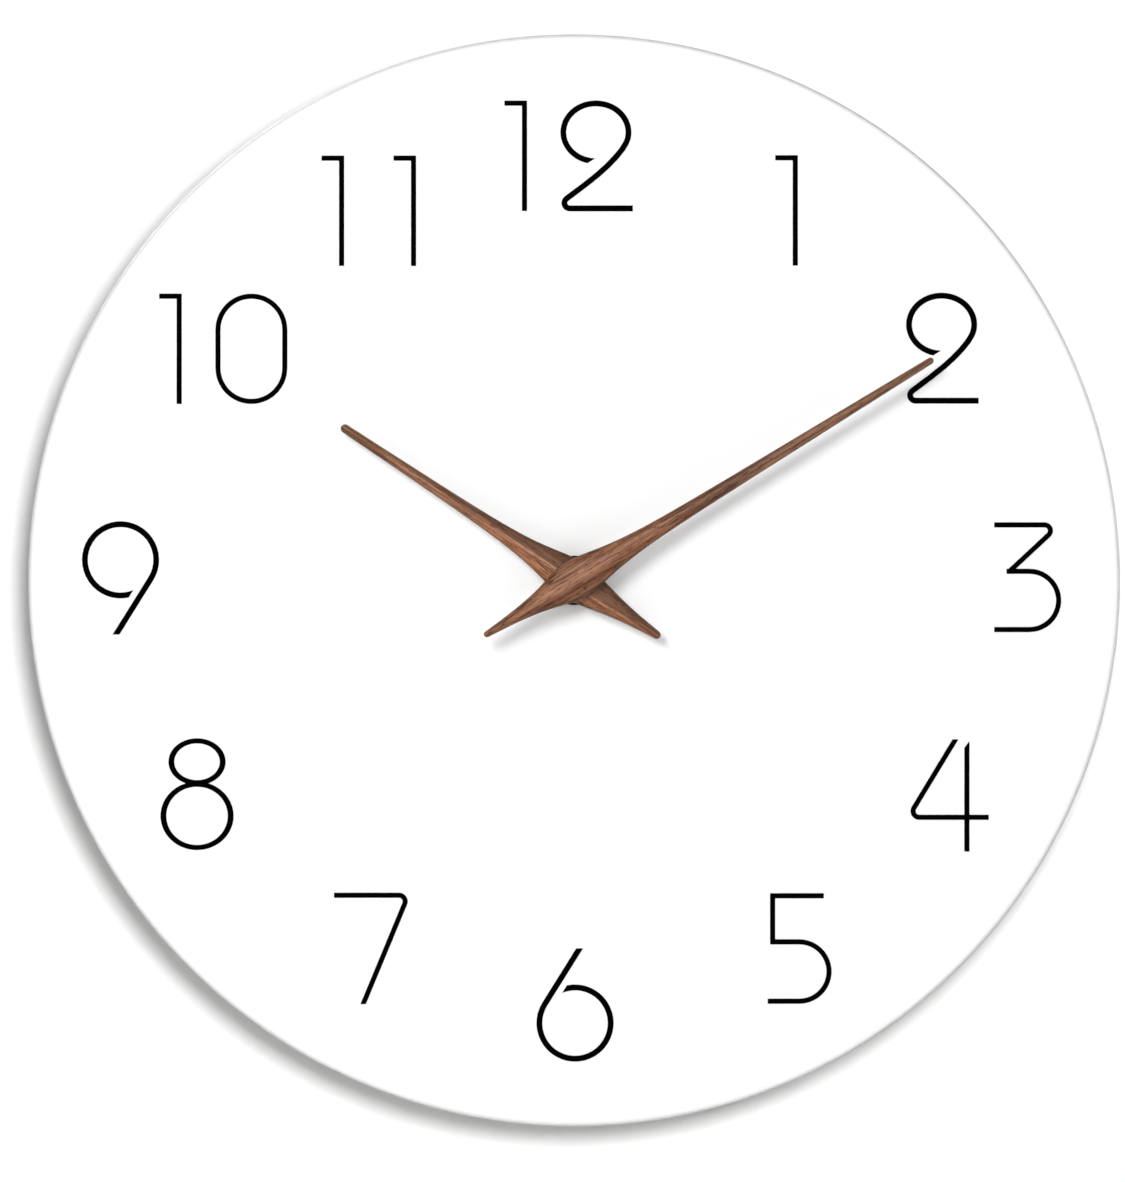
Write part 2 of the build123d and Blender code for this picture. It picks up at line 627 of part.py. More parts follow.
def coil_bobbin():
    flange = RectangleRounded(BOBBIN_FLANGE, BOBBIN_FLANGE, 0.8)
    body = upright(Circle(BOBBIN_TUBE), COIL_BOTTOM, COIL_TOP - COIL_BOTTOM)
    body += upright(flange, COIL_BOTTOM, BOBBIN_FLANGE_THICKNESS)
    body += upright(flange, COIL_TOP - BOBBIN_FLANGE_THICKNESS, BOBBIN_FLANGE_THICKNESS)
    body -= upright(Rectangle(CORE_WIDTH, CORE_THICKNESS), COIL_BOTTOM - 1, COIL_TOP - COIL_BOTTOM + 2)
    for pin in coil_terminals().solids():
        body -= pin
    return body


def coil_winding():
    length = COIL_TOP - COIL_BOTTOM - 2 * BOBBIN_FLANGE_THICKNESS
    copper = Circle(WINDING_RADIUS) - Circle(BOBBIN_TUBE)
    return upright(copper, COIL_BOTTOM + BOBBIN_FLANGE_THICKNESS, length)


# ============================================================ electronics
def circuit_board():
    """An L of board: a block for the chip and crystal, and a bar to the coil."""
    left, right = -PCB_HALF_WIDTH, PCB_HALF_WIDTH
    corners = [(left, PCB_TOP), (right, PCB_TOP), (right, PCB_BAR_BOTTOM), (PCB_BLOCK_RIGHT, PCB_BAR_BOTTOM),
               (PCB_BLOCK_RIGHT, PCB_BLOCK_BOTTOM), (left, PCB_BLOCK_BOTTOM)]
    outline = make_face(Polyline(*corners, close=True))
    for peg in PCB_PEGS:
        outline -= Pos(*peg) * Circle(PEG_RADIUS + 0.1)
    board = slab(outline, PCB_BACK, PCB_THICKNESS)
    for pin in coil_terminals().solids():
        board -= pin
    return board


def chip_cover():
    """The round drop of resin over the bare chip."""
    sphere_radius = (CHIP_RADIUS ** 2 + CHIP_HEIGHT ** 2) / (2 * CHIP_HEIGHT)
    front = PCB_BACK - PCB_THICKNESS
    right, above = CHIP_PLACE
    ball = Pos(right, front + sphere_radius - CHIP_HEIGHT, above) * Sphere(sphere_radius)
    return ball & rod(CHIP_PLACE, 2 * CHIP_RADIUS, front, front - 2 * CHIP_HEIGHT)


def quartz_crystal():
    """The can of the crystal, lying on the board, with two short legs."""
    front = PCB_BACK - PCB_THICKNESS
    right, above = CRYSTAL_PLACE
    axis_y = front - CRYSTAL_RADIUS
    leg_end = above - CRYSTAL_LENGTH / 2 - LEG_LENGTH
    can = Pos(right, axis_y, above) * Cylinder(CRYSTAL_RADIUS, CRYSTAL_LENGTH)
    for side in (-LEG_SPREAD, LEG_SPREAD):
        leg = Pos(right + side, axis_y, leg_end + LEG_LENGTH / 2) * Cylinder(LEG_RADIUS, LEG_LENGTH)
        foot = rod((right + side, leg_end + LEG_RADIUS), LEG_RADIUS, front, axis_y)
        can += leg + foot
    return can


def contact_plate(side):
    """A tinned strip on the bay's end wall with a tail up to the circuit board."""
    outer = side * (INNER_HALF - CONTACT_GAP)
    inner = side * (INNER_HALF - CONTACT_GAP - CONTACT_THICKNESS)
    x_range = (min(outer, inner), max(outer, inner))
    plate = block(x_range, CONTACT_DEPTHS, (CELL_Z - CONTACT_HALF_HEIGHT, CELL_Z + CONTACT_HALF_HEIGHT))
    tail_top = PCB_TOP if side > 0 else PCB_BLOCK_BOTTOM + 6.0
    return plate + block(x_range, (TAIL_FRONT, PCB_BACK), (CELL_Z, tail_top))


def positive_contact():
    return contact_plate(-1)


def negative_contact():
    """The strip with a bowed leaf that presses on the flat end of the cell."""
    wall = INNER_HALF - CONTACT_GAP - CONTACT_THICKNESS
    outer, inner = LEAF_HALF_HEIGHT, LEAF_HALF_HEIGHT - 0.8
    crown_x, hollow_x = wall - LEAF_BOW - LEAF_THICKNESS, wall - LEAF_BOW
    crown = ThreePointArc((wall, CELL_Z + outer), (crown_x, CELL_Z), (wall, CELL_Z - outer))
    hollow = ThreePointArc((wall, CELL_Z - inner), (hollow_x, CELL_Z), (wall, CELL_Z + inner))
    lower_rim = Line((wall, CELL_Z - outer), (wall, CELL_Z - inner))
    upper_rim = Line((wall, CELL_Z + inner), (wall, CELL_Z + outer))
    leaf = slab(make_face([crown, lower_rim, hollow, upper_rim]), LEAF_BACK, LEAF_WIDTH)
    return contact_plate(1) + leaf


# ============================================================ movement case
def case_outline():
    return Pos(*CENTRE) * RectangleRounded(CASE_SIZE, CASE_SIZE, CASE_CORNER)


def blind_boss(centre, radius, wall_face, towards_front):
    """A moulded bearing boss on a case wall and the pivot hole in it."""
    step = -BOSS_HEIGHT if towards_front else BOSS_HEIGHT
    floor = wall_face + (-PIVOT_HOLE_DEPTH if towards_front else PIVOT_HOLE_DEPTH)
    tip = wall_face + step
    boss = rod(centre, radius + BOSS_WALL, max(wall_face, tip), min(wall_face, tip))
    hole = rod(centre, radius + RUNNING_CLEARANCE, max(floor, tip), min(floor, tip))
    return boss, hole


def movement_front_case():
    plate = slab(case_outline(), CHAMBER_FRONT, CASE_WALL)
    plate = fillet(plate.faces().sort_by(Axis.Y)[0].edges(), CASE_EDGE_RADIUS)
    plate -= rod(CENTRE, BUSHING_RADIUS, CHAMBER_FRONT + 1, CASE_FRONT - 1)
    plate -= rod(CENTRE, BUSHING_FLANGE, CHAMBER_FRONT + 1, CHAMBER_FRONT - BUSHING_FLANGE_THICKNESS)
    for centre in TRAIN_ARBORS + (SETTING,):
        radius = SETTING_SHAFT_RADIUS if centre == SETTING else PIVOT_RADIUS
        boss, hole = blind_boss(centre, radius, CHAMBER_FRONT, False)
        plate = plate + boss - hole
    plate += rod(MOTION, POST_RADIUS, MOTION_POST_BACK, CHAMBER_FRONT)
    for side in (-1, 1):
        for height in SNAP_HEIGHTS:
            plate += snap_tab(side, ARBOR_Z + height)
    return plate


def snap_tab(side, height):
    """A spring tab with a hook that catches in a window of the rear case."""
    outer = INNER_HALF - SNAP_PLAY
    inner = outer - SNAP_THICKNESS
    hook = outer + HOOK_REACH
    tab_end, hook_front, hook_back = CHAMBER_FRONT + 3.2, CHAMBER_FRONT + 1.4, CHAMBER_FRONT + 2.4
    span = (height - SNAP_WIDTH / 2, height + SNAP_WIDTH / 2)
    tab = block(tuple(sorted((side * inner, side * outer))), (CHAMBER_FRONT, tab_end), span)
    nose = block(tuple(sorted((side * inner, side * hook))), (hook_front, hook_back), span)
    return tab + nose


def keyhole():
    """The hanging opening: a round entry and a narrow slot above it."""
    slot_end = HANG_SLOT_TOP - HANG_SLOT_HALF
    slot = Pos(0, slot_end / 2) * Rectangle(2 * HANG_SLOT_HALF, slot_end)
    return Circle(HANG_HOLE_RADIUS) + slot + Pos(0, slot_end) * Circle(HANG_SLOT_HALF)


def hanging_tab():
    """The tab above the case, stiffened by a gusset on each side."""
    foot = CASE_TOP - 1.0
    plate = Pos(0, (foot + HANG_ROUND_HEIGHT) / 2) * Rectangle(2 * HANG_TAB_HALF, HANG_ROUND_HEIGHT - foot)
    plate += Pos(0, HANG_ROUND_HEIGHT) * Circle(HANG_TAB_HALF)
    tab = slab(plate, 0, HANG_TAB_THICKNESS) - slab(keyhole(), 1, HANG_TAB_THICKNESS + 2)
    corners = [(-HANG_TAB_THICKNESS, CASE_TOP + GUSSET_HEIGHT), (-HANG_TAB_THICKNESS, foot),
               (-GUSSET_DEPTH, foot), (-GUSSET_DEPTH, CASE_TOP)]
    for side in (-1, 1):
        left = side * (HANG_TAB_HALF - 0.7) - GUSSET_THICKNESS / 2
        side_plane = Plane(origin=(left, 0, 0), x_dir=(0, 1, 0), z_dir=(1, 0, 0))
        tab += extrude(side_plane * make_face(Polyline(*corners, close=True)), GUSSET_THICKNESS)
    return tab


def movement_rear_case():
    """The shell that holds the wheels, the open battery bay and the hanging tab."""
    shell = slab(case_outline(), 0, CASE_DEPTH - CASE_WALL)
    shell = fillet(shell.faces().sort_by(Axis.Y)[-1].edges(), CASE_EDGE_RADIUS)
    shell += hanging_tab()
    inner = (-INNER_HALF, INNER_HALF)
    shell -= block(inner, (CHAMBER_FRONT - 1, CHAMBER_BACK), (CHAMBER_BOTTOM, CHAMBER_TOP))
    shell -= block(inner, (CHAMBER_FRONT - 1, 1), (BAY_BOTTOM, BAY_TOP))
    shell -= Pos(0, 0, CASE_BOTTOM) * Cylinder(FINGER_NOTCH_RADIUS, 2 * CASE_WALL + 0.2)
    cup_floor = -KNOB_RECESS_DEPTH
    shell += rod(SETTING, KNOB_RECESS_RADIUS + CUP_WALL, 0, cup_floor - CUP_WALL)
    shell -= rod(SETTING, KNOB_RECESS_RADIUS, 1, cup_floor)
    shell -= rod(SETTING, SETTING_SHAFT_RADIUS + RUNNING_CLEARANCE, 1, -5)
    for centre in TRAIN_ARBORS + (CENTRE,):
        radius = CENTRE_REAR_RADIUS if centre == CENTRE else PIVOT_RADIUS
        boss, hole = blind_boss(centre, radius, CHAMBER_BACK, True)
        shell = shell + boss - hole
    for peg in PCB_PEGS:
        shell += rod(peg, PEG_SHOULDER_RADIUS, CHAMBER_BACK, PCB_BACK)
        shell += rod(peg, PEG_RADIUS, CHAMBER_BACK, PCB_BACK - PEG_LENGTH)
    notch_depths = (TAIL_FRONT - 0.2, PCB_BACK + 0.2)
    window_depths = (CHAMBER_FRONT + 1.3, CHAMBER_FRONT + 2.5)
    half_window = SNAP_WIDTH / 2 + SNAP_PLAY
    for side in (-1, 1):
        notch = sorted((side * INNER_HALF, side * (INNER_HALF - 0.7)))
        shell -= block(notch, notch_depths, (BAY_TOP - 1, CHAMBER_BOTTOM + 1))
        for height in SNAP_HEIGHTS:
            window = sorted((side * INNER_HALF, side * (INNER_HALF + 3)))
            middle = ARBOR_Z + height
            shell -= block(window, window_depths, (middle - half_window, middle + half_window))
    return shell


# ============================================================ setting knob
def setting_knob():
    """The fluted knob on the back, its shaft and the pinion on the motion wheel."""
    edge_chamfer = 0.4
    knob = rod(SETTING, KNOB_RADIUS, KNOB_BACK, KNOB_BACK - KNOB_THICKNESS)
    knob = chamfer(knob.faces().sort_by(Axis.Y)[-1].edges(), edge_chamfer)
    for flute in range(KNOB_FLUTES):
        middle = across(SETTING, KNOB_RADIUS + 0.1, 360 * flute / KNOB_FLUTES)
        knob -= rod(middle, FLUTE_RADIUS, 1, -KNOB_THICKNESS - 1)
    # the motion wheel has a gap on this line of centres, so the pinion has a tooth
    pinion = driving_gear(SETTING, SETTING_TEETH, MINUTE_MODULE, SETTING_MESH + 180, CANNON_LAYER)
    shaft = rod(SETTING, SETTING_SHAFT_RADIUS, KNOB_BACK - 1, CHAMBER_FRONT + PIVOT_SINK)
    return knob + shaft + pinion


# ============================================================ AA cell
def lying(radius, left, right):
    """A round bar along X on the cell's axis."""
    return Pos((left + right) / 2, CELL_Y, CELL_Z) * Rot(0, 90, 0) * Cylinder(radius, right - left)


def battery_can():
    can_radius = CELL_RADIUS - SLEEVE_THICKNESS
    can = lying(can_radius, CELL_LEFT, CELL_RIGHT)
    rim_chamfer = 0.3
    can = chamfer(can.edges().filter_by(GeomType.CIRCLE), rim_chamfer)
    return can - lying(BUTTON_RADIUS, CELL_LEFT - 1, CELL_LEFT + BUTTON_SEAT)


def battery_sleeve():
    margin = 0.4
    outer = lying(CELL_RADIUS, CELL_LEFT + margin, CELL_RIGHT - margin)
    return outer - lying(CELL_RADIUS - SLEEVE_THICKNESS, CELL_LEFT - 1, CELL_RIGHT + 1)


def battery_button():
    button = lying(BUTTON_RADIUS, CELL_LEFT - BUTTON_LENGTH, CELL_LEFT + BUTTON_SEAT)
    rim_radius = 0.4
    return fillet(button.faces().sort_by(Axis.X)[0].edges(), rim_radius)


# ============================================================ hands
TIP_ROUNDNESS = 0.12        # smallest share of the squared width left at a tip
THIN_SHARE = 0.5            # of the thickness that is left far from the arbor
THINNING = 22.0             # reach over which the hand thins
SIDE_SHARE = 0.35           # upright part of the height
STATION_POWER = 1.7         # crowds the sections towards the arbor
LENGTH_STATIONS, TAIL_STATIONS = 14, 8


class HandShape:
    """A carved hand: a slim taper with a swelling over the arbor.

    The half width at a distance r from the arbor is base - taper * r plus a
    swelling that fades as 1 / cosh(r / spread), on both sides of the arbor.
    """

    def __init__(self, length, tail, thickness, base, swelling, tapers, spreads):
        self.length = length
        self.tail = tail
        self.thickness = thickness
        self.base = base
        self.swelling = swelling
        self.tapers = tapers
        self.spreads = spreads

    def half_width(self, reach):
        side = 0 if reach >= 0 else 1
        distance = abs(reach)
        end = self.length if side == 0 else self.tail
        width = self.base - self.tapers[side] * distance
        width += self.swelling / cosh(distance / self.spreads[side])
        overrun = max(0.0, distance - (end - width)) / width
        return width * sqrt(max(TIP_ROUNDNESS, 1 - overrun ** 2))

    def height(self, reach):
        """The hand is thickest over the arbor and thins towards both ends."""
        return self.thickness * (THIN_SHARE + (1 - THIN_SHARE) / cosh(reach / THINNING))

    def stations(self):
        """Section places, closer together near the arbor and at both rounded ends."""
        places = []
        for end, steps, sign in ((self.length, LENGTH_STATIONS, 1), (self.tail, TAIL_STATIONS, -1)):
            cap = self.half_width(sign * end * 0.95)
            places += [sign * (end - cap) * (step / steps) ** STATION_POWER for step in range(steps + 1)]
            places += [sign * (end - cap * share) for share in (0.5, 0.2, 0.0)]
        return sorted(set(places))

    def section(self, reach, back):
        """A flat back, low upright sides and a domed front."""
        half, height = self.half_width(reach), self.height(reach)
        side = SIDE_SHARE * height
        plane = Plane(origin=(0, back, reach), x_dir=(1, 0, 0), z_dir=(0, 0, -1))
        dome = EllipticalCenterArc((0, side), half, height - side, arc_size=180)
        sides = [Line((-half, side), (-half, 0)), Line((half, 0), (half, side))]
        return plane * make_face([dome, Line((-half, 0), (half, 0)), *sides])

    def solid(self, back, clockwise):
        upright_hand = loft([self.section(reach, back) for reach in self.stations()], ruled=True)
        return Pos(0, 0, ARBOR_Z) * Rot(0, clockwise, 0) * upright_hand


HOUR_SHAPE = HandShape(HOUR_LENGTH, HOUR_TAIL, HOUR_HAND_THICKNESS, base=2.2, swelling=3.3,
                       tapers=(0.0133, 0.052), spreads=(8.8, 9.4))
MINUTE_SHAPE = HandShape(MINUTE_LENGTH, MINUTE_TAIL, MINUTE_HAND_THICKNESS, base=2.4, swelling=3.1,
                         tapers=(0.0128, 0.058), spreads=(9.0, 7.0))


def hour_hand():
    hand = HOUR_SHAPE.solid(HOUR_HAND_BACK, HOUR_ANGLE)
    return hand - rod(CENTRE, HOUR_BUSH_RADIUS, HOUR_HAND_BACK + 1, HOUR_HAND_FRONT - 1)


def hour_hand_bush():
    """A brass sleeve pressed on the hour tube, with a flange behind the wood."""
    sleeve = rod(CENTRE, HOUR_BUSH_RADIUS, HOUR_HAND_BACK, HOUR_TUBE_FRONT)
    flange = rod(CENTRE, HOUR_BUSH_FLANGE_RADIUS, HOUR_HAND_BACK + BUSH_FLANGE, HOUR_HAND_BACK)
    return sleeve + flange - rod(CENTRE, HOUR_TUBE_RADIUS, HOUR_HAND_BACK + 2, HOUR_HAND_FRONT - 1)


def minute_hand():
    hand = MINUTE_SHAPE.solid(MINUTE_HAND_BACK, MINUTE_ANGLE)
    return hand - rod(CENTRE, MINUTE_BUSH_RADIUS, MINUTE_HAND_BACK + 1, MINUTE_HAND_BACK - MINUTE_BUSH_DEPTH)


def minute_hand_bush():
    """A blind brass cup pressed on the minute arbor and sunk in the wood."""
    cup = rod(CENTRE, MINUTE_BUSH_RADIUS, MINUTE_HAND_BACK, MINUTE_HAND_BACK - MINUTE_BUSH_DEPTH)
    flange = rod(CENTRE, MINUTE_BUSH_FLANGE_RADIUS, MINUTE_HAND_BACK + BUSH_FLANGE, MINUTE_HAND_BACK)
    return cup + flange - rod(CENTRE, MINUTE_ARBOR_RADIUS, MINUTE_HAND_BACK + 2, MINUTE_ARBOR_FRONT)


# ============================================================ output
PIECES = (dial_board, dial_numerals, rubber_washer, dress_washer, hex_nut, threaded_bushing,
          movement_front_case, movement_rear_case, circuit_board, chip_cover, quartz_crystal,
          stator, coil_core, stator_screws, coil_bobbin, coil_winding, coil_terminals,
          positive_contact, negative_contact, battery_can, battery_sleeve, battery_button,
          rotor_pinion, rotor_magnet, middle_wheel, second_wheel, third_wheel, centre_wheel,
          clutch_spring, minute_arbor, motion_wheel, hour_wheel, setting_knob,
          hour_hand, hour_hand_bush, minute_hand, minute_hand_bush)

os.makedirs("parts", exist_ok=True)
for piece in PIECES:
    export_step(piece(), f"parts/{piece.__name__}.step")
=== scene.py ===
"""The looks of the frameless wall clock: carved hands, lacquered board, materials, light and camera.

Lengths are metres in the row frame: the origin is the centre of the hanging
keyhole on the plane of the wall, +Y goes into the wall, the dial faces -Y and
+Z is up.
"""
import bmesh
import bpy
import json
from math import cos, cosh, pi, radians, sin, sqrt
from mathutils import Euler, Matrix, Vector, noise

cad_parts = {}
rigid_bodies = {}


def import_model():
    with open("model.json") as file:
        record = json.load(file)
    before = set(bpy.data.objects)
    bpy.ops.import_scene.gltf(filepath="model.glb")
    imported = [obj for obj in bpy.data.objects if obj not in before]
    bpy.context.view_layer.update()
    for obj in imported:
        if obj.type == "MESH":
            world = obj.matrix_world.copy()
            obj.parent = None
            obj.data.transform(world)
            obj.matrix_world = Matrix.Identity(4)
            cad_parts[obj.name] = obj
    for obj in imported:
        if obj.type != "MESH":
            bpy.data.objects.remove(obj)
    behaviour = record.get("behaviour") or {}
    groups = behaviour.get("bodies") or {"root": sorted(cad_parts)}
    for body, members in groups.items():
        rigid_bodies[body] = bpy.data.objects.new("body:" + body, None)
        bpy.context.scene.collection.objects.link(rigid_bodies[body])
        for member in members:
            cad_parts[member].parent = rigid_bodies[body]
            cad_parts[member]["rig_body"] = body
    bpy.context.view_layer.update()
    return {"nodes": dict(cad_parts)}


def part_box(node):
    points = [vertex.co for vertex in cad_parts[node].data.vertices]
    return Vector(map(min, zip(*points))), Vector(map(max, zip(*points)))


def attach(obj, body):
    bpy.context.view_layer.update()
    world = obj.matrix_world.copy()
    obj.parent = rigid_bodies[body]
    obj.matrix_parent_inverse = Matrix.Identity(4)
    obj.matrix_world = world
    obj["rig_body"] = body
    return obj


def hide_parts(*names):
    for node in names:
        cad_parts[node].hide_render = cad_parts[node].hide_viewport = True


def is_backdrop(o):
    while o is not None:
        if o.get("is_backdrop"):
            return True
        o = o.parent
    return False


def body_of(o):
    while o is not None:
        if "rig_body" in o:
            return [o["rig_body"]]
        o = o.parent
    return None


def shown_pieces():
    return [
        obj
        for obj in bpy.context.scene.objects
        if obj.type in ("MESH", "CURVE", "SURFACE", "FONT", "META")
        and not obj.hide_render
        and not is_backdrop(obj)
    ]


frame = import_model()
NODES = frame["nodes"]
MM = 0.001


# ------------------------------------------------------------ places from the frame
def middle(node):
    low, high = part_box(node)
    return (low + high) / 2


ARBOR = Vector((middle("hex_nut").x, 0.0, middle("hex_nut").z))
BOARD_LOW, BOARD_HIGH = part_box("dial_board")
BOARD_FRONT, BOARD_BACK = BOARD_LOW.y, BOARD_HIGH.y
DIAL_RADIUS = (BOARD_HIGH.z - BOARD_LOW.z) / 2
DIAL_DIAMETER = 2 * DIAL_RADIUS
DIAL_CENTRE = Vector((ARBOR.x, BOARD_FRONT, (BOARD_LOW.z + BOARD_HIGH.z) / 2))


# ------------------------------------------------------------ node materials
NOISE_LOW, NOISE_HIGH = 0.3, 0.7    # nearly all of a noise lies between these
ARRIS_SAMPLES = 6
ARRIS_GAIN = 6.0


def scaled(colour, gain):
    return tuple(min(1.0, gain * part) for part in colour)


class Shader:
    """A node material around one Principled shader, with patterns in object space."""

    def __init__(self, name, **constants):
        self.material = bpy.data.materials.new(name)
        self.material.use_nodes = True
        self.tree = self.material.node_tree
        self.surface = self.tree.nodes["Principled BSDF"]
        self.place = self.add("TexCoord").outputs["Object"]
        for name_of_socket, value in constants.items():
            self.surface.inputs[name_of_socket.replace("_", " ")].default_value = value

    def add(self, kind, **settings):
        node = self.tree.nodes.new("ShaderNode" + kind)
        for setting, value in settings.items():
            setattr(node, setting, value)
        return node

    def feed(self, socket, value):
        """Links another node's output to a socket, or sets a constant on it."""
        if isinstance(value, bpy.types.NodeSocket):
            self.tree.links.new(value, socket)
        else:
            socket.default_value = value

    def colour(self, value):
        self.feed(self.surface.inputs["Base Color"], value)

    def roughness(self, value):
        self.feed(self.surface.inputs["Roughness"], value)

    def normal(self, value):
        self.feed(self.surface.inputs["Normal"], value)

    def math(self, operation, first, second=0.0, clamp=False):
        node = self.add("Math", operation=operation, use_clamp=clamp)
        self.feed(node.inputs[0], first)
        self.feed(node.inputs[1], second)
        return node.outputs[0]

    def stretch(self, scale, shift=(0, 0, 0), turn=(0, 0, 0)):
        """Object coordinates scaled, turned and moved: a large scale makes a fine pattern."""
        node = self.add("Mapping", vector_type="POINT")
        self.feed(node.inputs["Vector"], self.place)
        node.inputs["Location"].default_value = shift
        node.inputs["Rotation"].default_value = turn
        node.inputs["Scale"].default_value = scale
        return node.outputs["Vector"]

    def noise(self, scale, detail=2.0, rough=0.5, place=None, distortion=0.0):
        node = self.add("TexNoise")
        self.feed(node.inputs["Vector"], place or self.place)
        for socket, value in (("Scale", scale), ("Detail", detail), ("Roughness", rough),
                              ("Distortion", distortion)):
            node.inputs[socket].default_value = value
        return node.outputs["Fac"]

    def cells(self, scale):
        node = self.add("TexVoronoi", feature="F1")
        self.feed(node.inputs["Vector"], self.place)
        node.inputs["Scale"].default_value = scale
        return node.outputs["Distance"]

    def axis(self, name):
        node = self.add("SeparateXYZ")
        self.feed(node.inputs[0], self.place)
        return node.outputs[name]

    def radius(self, centre):
        """The distance in the X-Z plane from a line along Y."""
        node = self.add("VectorMath", operation="MULTIPLY_ADD")
        self.feed(node.inputs[0], self.place)
        node.inputs[1].default_value = (1, 0, 1)
        node.inputs[2].default_value = (-centre.x, 0, -centre.z)
        length = self.add("VectorMath", operation="LENGTH")
        self.feed(length.inputs[0], node.outputs["Vector"])
        return length.outputs["Value"]

    def spread(self, value, low, high, to_low=0.0, to_high=1.0, smooth=False):
        """Maps low..high to to_low..to_high and clamps."""
        node = self.add("MapRange", clamp=True)
        node.interpolation_type = "SMOOTHSTEP" if smooth else "LINEAR"
        self.feed(node.inputs["Value"], value)
        for socket, number in (("From Min", low), ("From Max", high),
                               ("To Min", to_low), ("To Max", to_high)):
            node.inputs[socket].default_value = number
        return node.outputs["Result"]

    def vary(self, pattern, low, high):
        """Maps a noise's usual range to low..high."""
        return self.spread(pattern, NOISE_LOW, NOISE_HIGH, low, high)

    def between(self, value, low, high):
        """1 where the value lies between two numbers, else 0."""
        return self.math("MULTIPLY", self.math("GREATER_THAN", value, low),
                         self.math("LESS_THAN", value, high))

    def near(self, value, target, reach):
        """1 where the value lies within a reach of the target, else 0."""
        return self.math("LESS_THAN", self.math("ABSOLUTE", self.math("SUBTRACT", value, target)), reach)

    def ramp(self, value, *stops):
        """A colour ramp through (position, (r, g, b)) stops."""
        node = self.add("ValToRGB")
        self.feed(node.inputs["Fac"], value)
        marks = node.color_ramp.elements
        while len(marks) < len(stops):
            marks.new(0.5)
        for mark, (position, colour) in zip(marks, stops):
            mark.position = position
            mark.color = (*colour, 1.0)
        return node.outputs["Color"]

    def blend(self, factor, first, second, how="MIX"):
        node = self.add("Mix", data_type="RGBA", blend_type=how)
        self.feed(node.inputs[0], factor)
        for socket, value in ((node.inputs[6], first), (node.inputs[7], second)):
            self.feed(socket, value if isinstance(value, bpy.types.NodeSocket) else (*value, 1.0))
        return node.outputs[2]

    def edges(self, radius):
        """Rises from 0 on flats to 1 on arrises of about that radius."""
        bevel = self.add("Bevel", samples=ARRIS_SAMPLES)
        bevel.inputs["Radius"].default_value = radius
        plain = self.add("NewGeometry").outputs["Normal"]
        match = self.add("VectorMath", operation="DOT_PRODUCT")
        self.feed(match.inputs[0], bevel.outputs["Normal"])
        self.feed(match.inputs[1], plain)
        away = self.math("SUBTRACT", 1.0, match.outputs["Value"])
        return self.math("MULTIPLY", away, ARRIS_GAIN, clamp=True)

    def attribute(self, name):
        return self.add("Attribute", attribute_name=name).outputs["Fac"]

    def bump(self, height, distance, over=None):
        """Relief of a depth in metres, over an earlier relief if there is one."""
        node = self.add("Bump")
        node.inputs["Distance"].default_value = distance
        node.inputs["Strength"].default_value = 1.0
        self.feed(node.inputs["Height"], height)
        if over is not None:
            self.feed(node.inputs["Normal"], over)
        return node.outputs["Normal"]


def board_faces():
    """White lacquer in front and on the rim, with painted shade greying the rim, a paper-faced back,
    and raw fibreboard between them.

    The mesh says where: painted_rim_shade on the rim, backing on the rear face, raw_board in the hole
    and along the rear arris.
    """
    s = Shader("lacquered_fibreboard", Coat_Weight=0.08, Coat_Roughness=0.3, Specular_IOR_Level=0.25)
    drift = s.noise(6.0, 3.0)
    lacquer = s.blend(drift, (0.915, 0.915, 0.915), (0.935, 0.935, 0.933))
    # painted shade: the lacquer turns grey along the rim and over its eased front arris
    rim_shade = s.math("MULTIPLY", s.attribute("painted_rim_shade"), s.vary(s.noise(500, 4.0), 0.65, 0.95))
    lacquer = s.blend(rim_shade, lacquer, (0.62, 0.62, 0.625))

    backing = s.attribute("backing")
    cloud = s.noise(38, 6.0, 0.65)
    paper = s.ramp(cloud, (0.3, (0.640, 0.632, 0.612)), (0.7, (0.735, 0.730, 0.712)))
    threads = s.noise(1500, 3.0, 0.6, s.stretch((0.3, 1, 1.5), turn=(0, -0.9, 0)), 2.0)
    paper = s.blend(s.spread(threads, 0.60, 0.72, 0.0, 0.45), paper, (0.47, 0.455, 0.425))
    scuffs = s.noise(1.0, 4.0, 0.7, s.stretch((26, 1, 210), turn=(0, 0.6, 0)), 0.8)
    paper = s.blend(s.spread(scuffs, 0.66, 0.76, 0.0, 0.28), paper, (0.50, 0.49, 0.47))

    fibres = s.noise(900, 8.0, 0.75, s.stretch((1, 1, 2.3), turn=(0, 0.5, 0)), 1.4)
    flecks = s.noise(2600, 3.0, 0.6, s.stretch((0.35, 1, 1.6), turn=(0, -0.9, 0)), 2.0)
    board = s.ramp(fibres, (0.3, (0.19, 0.115, 0.06)), (0.52, (0.33, 0.22, 0.125)),
                   (0.7, (0.47, 0.34, 0.21)))
    board = s.blend(s.spread(flecks, 0.58, 0.72, 0.0, 0.75), board, (0.11, 0.062, 0.032))
    raw = s.math("ADD", s.attribute("raw_board"), s.vary(fibres, -0.25, 0.25), clamp=True)
    raw = s.math("MULTIPLY", raw, s.spread(s.attribute("raw_board"), 0.0, 0.2))
    s.colour(s.blend(raw, s.blend(backing, lacquer, paper), board))

    satin = s.vary(s.noise(45, 4.0), 0.40, 0.50)
    s.roughness(s.math("ADD", satin, s.math("MULTIPLY", s.math("MAXIMUM", raw, backing), 0.3),
                       clamp=True))
    peel = s.bump(s.noise(420, 2.0), 0.02 * MM)
    nap = s.math("ADD", s.math("MULTIPLY", raw, fibres),
                 s.math("MULTIPLY", backing, s.math("MULTIPLY", threads, 0.35)))
    s.normal(s.bump(nap, 0.12 * MM, over=peel))
    return s.material


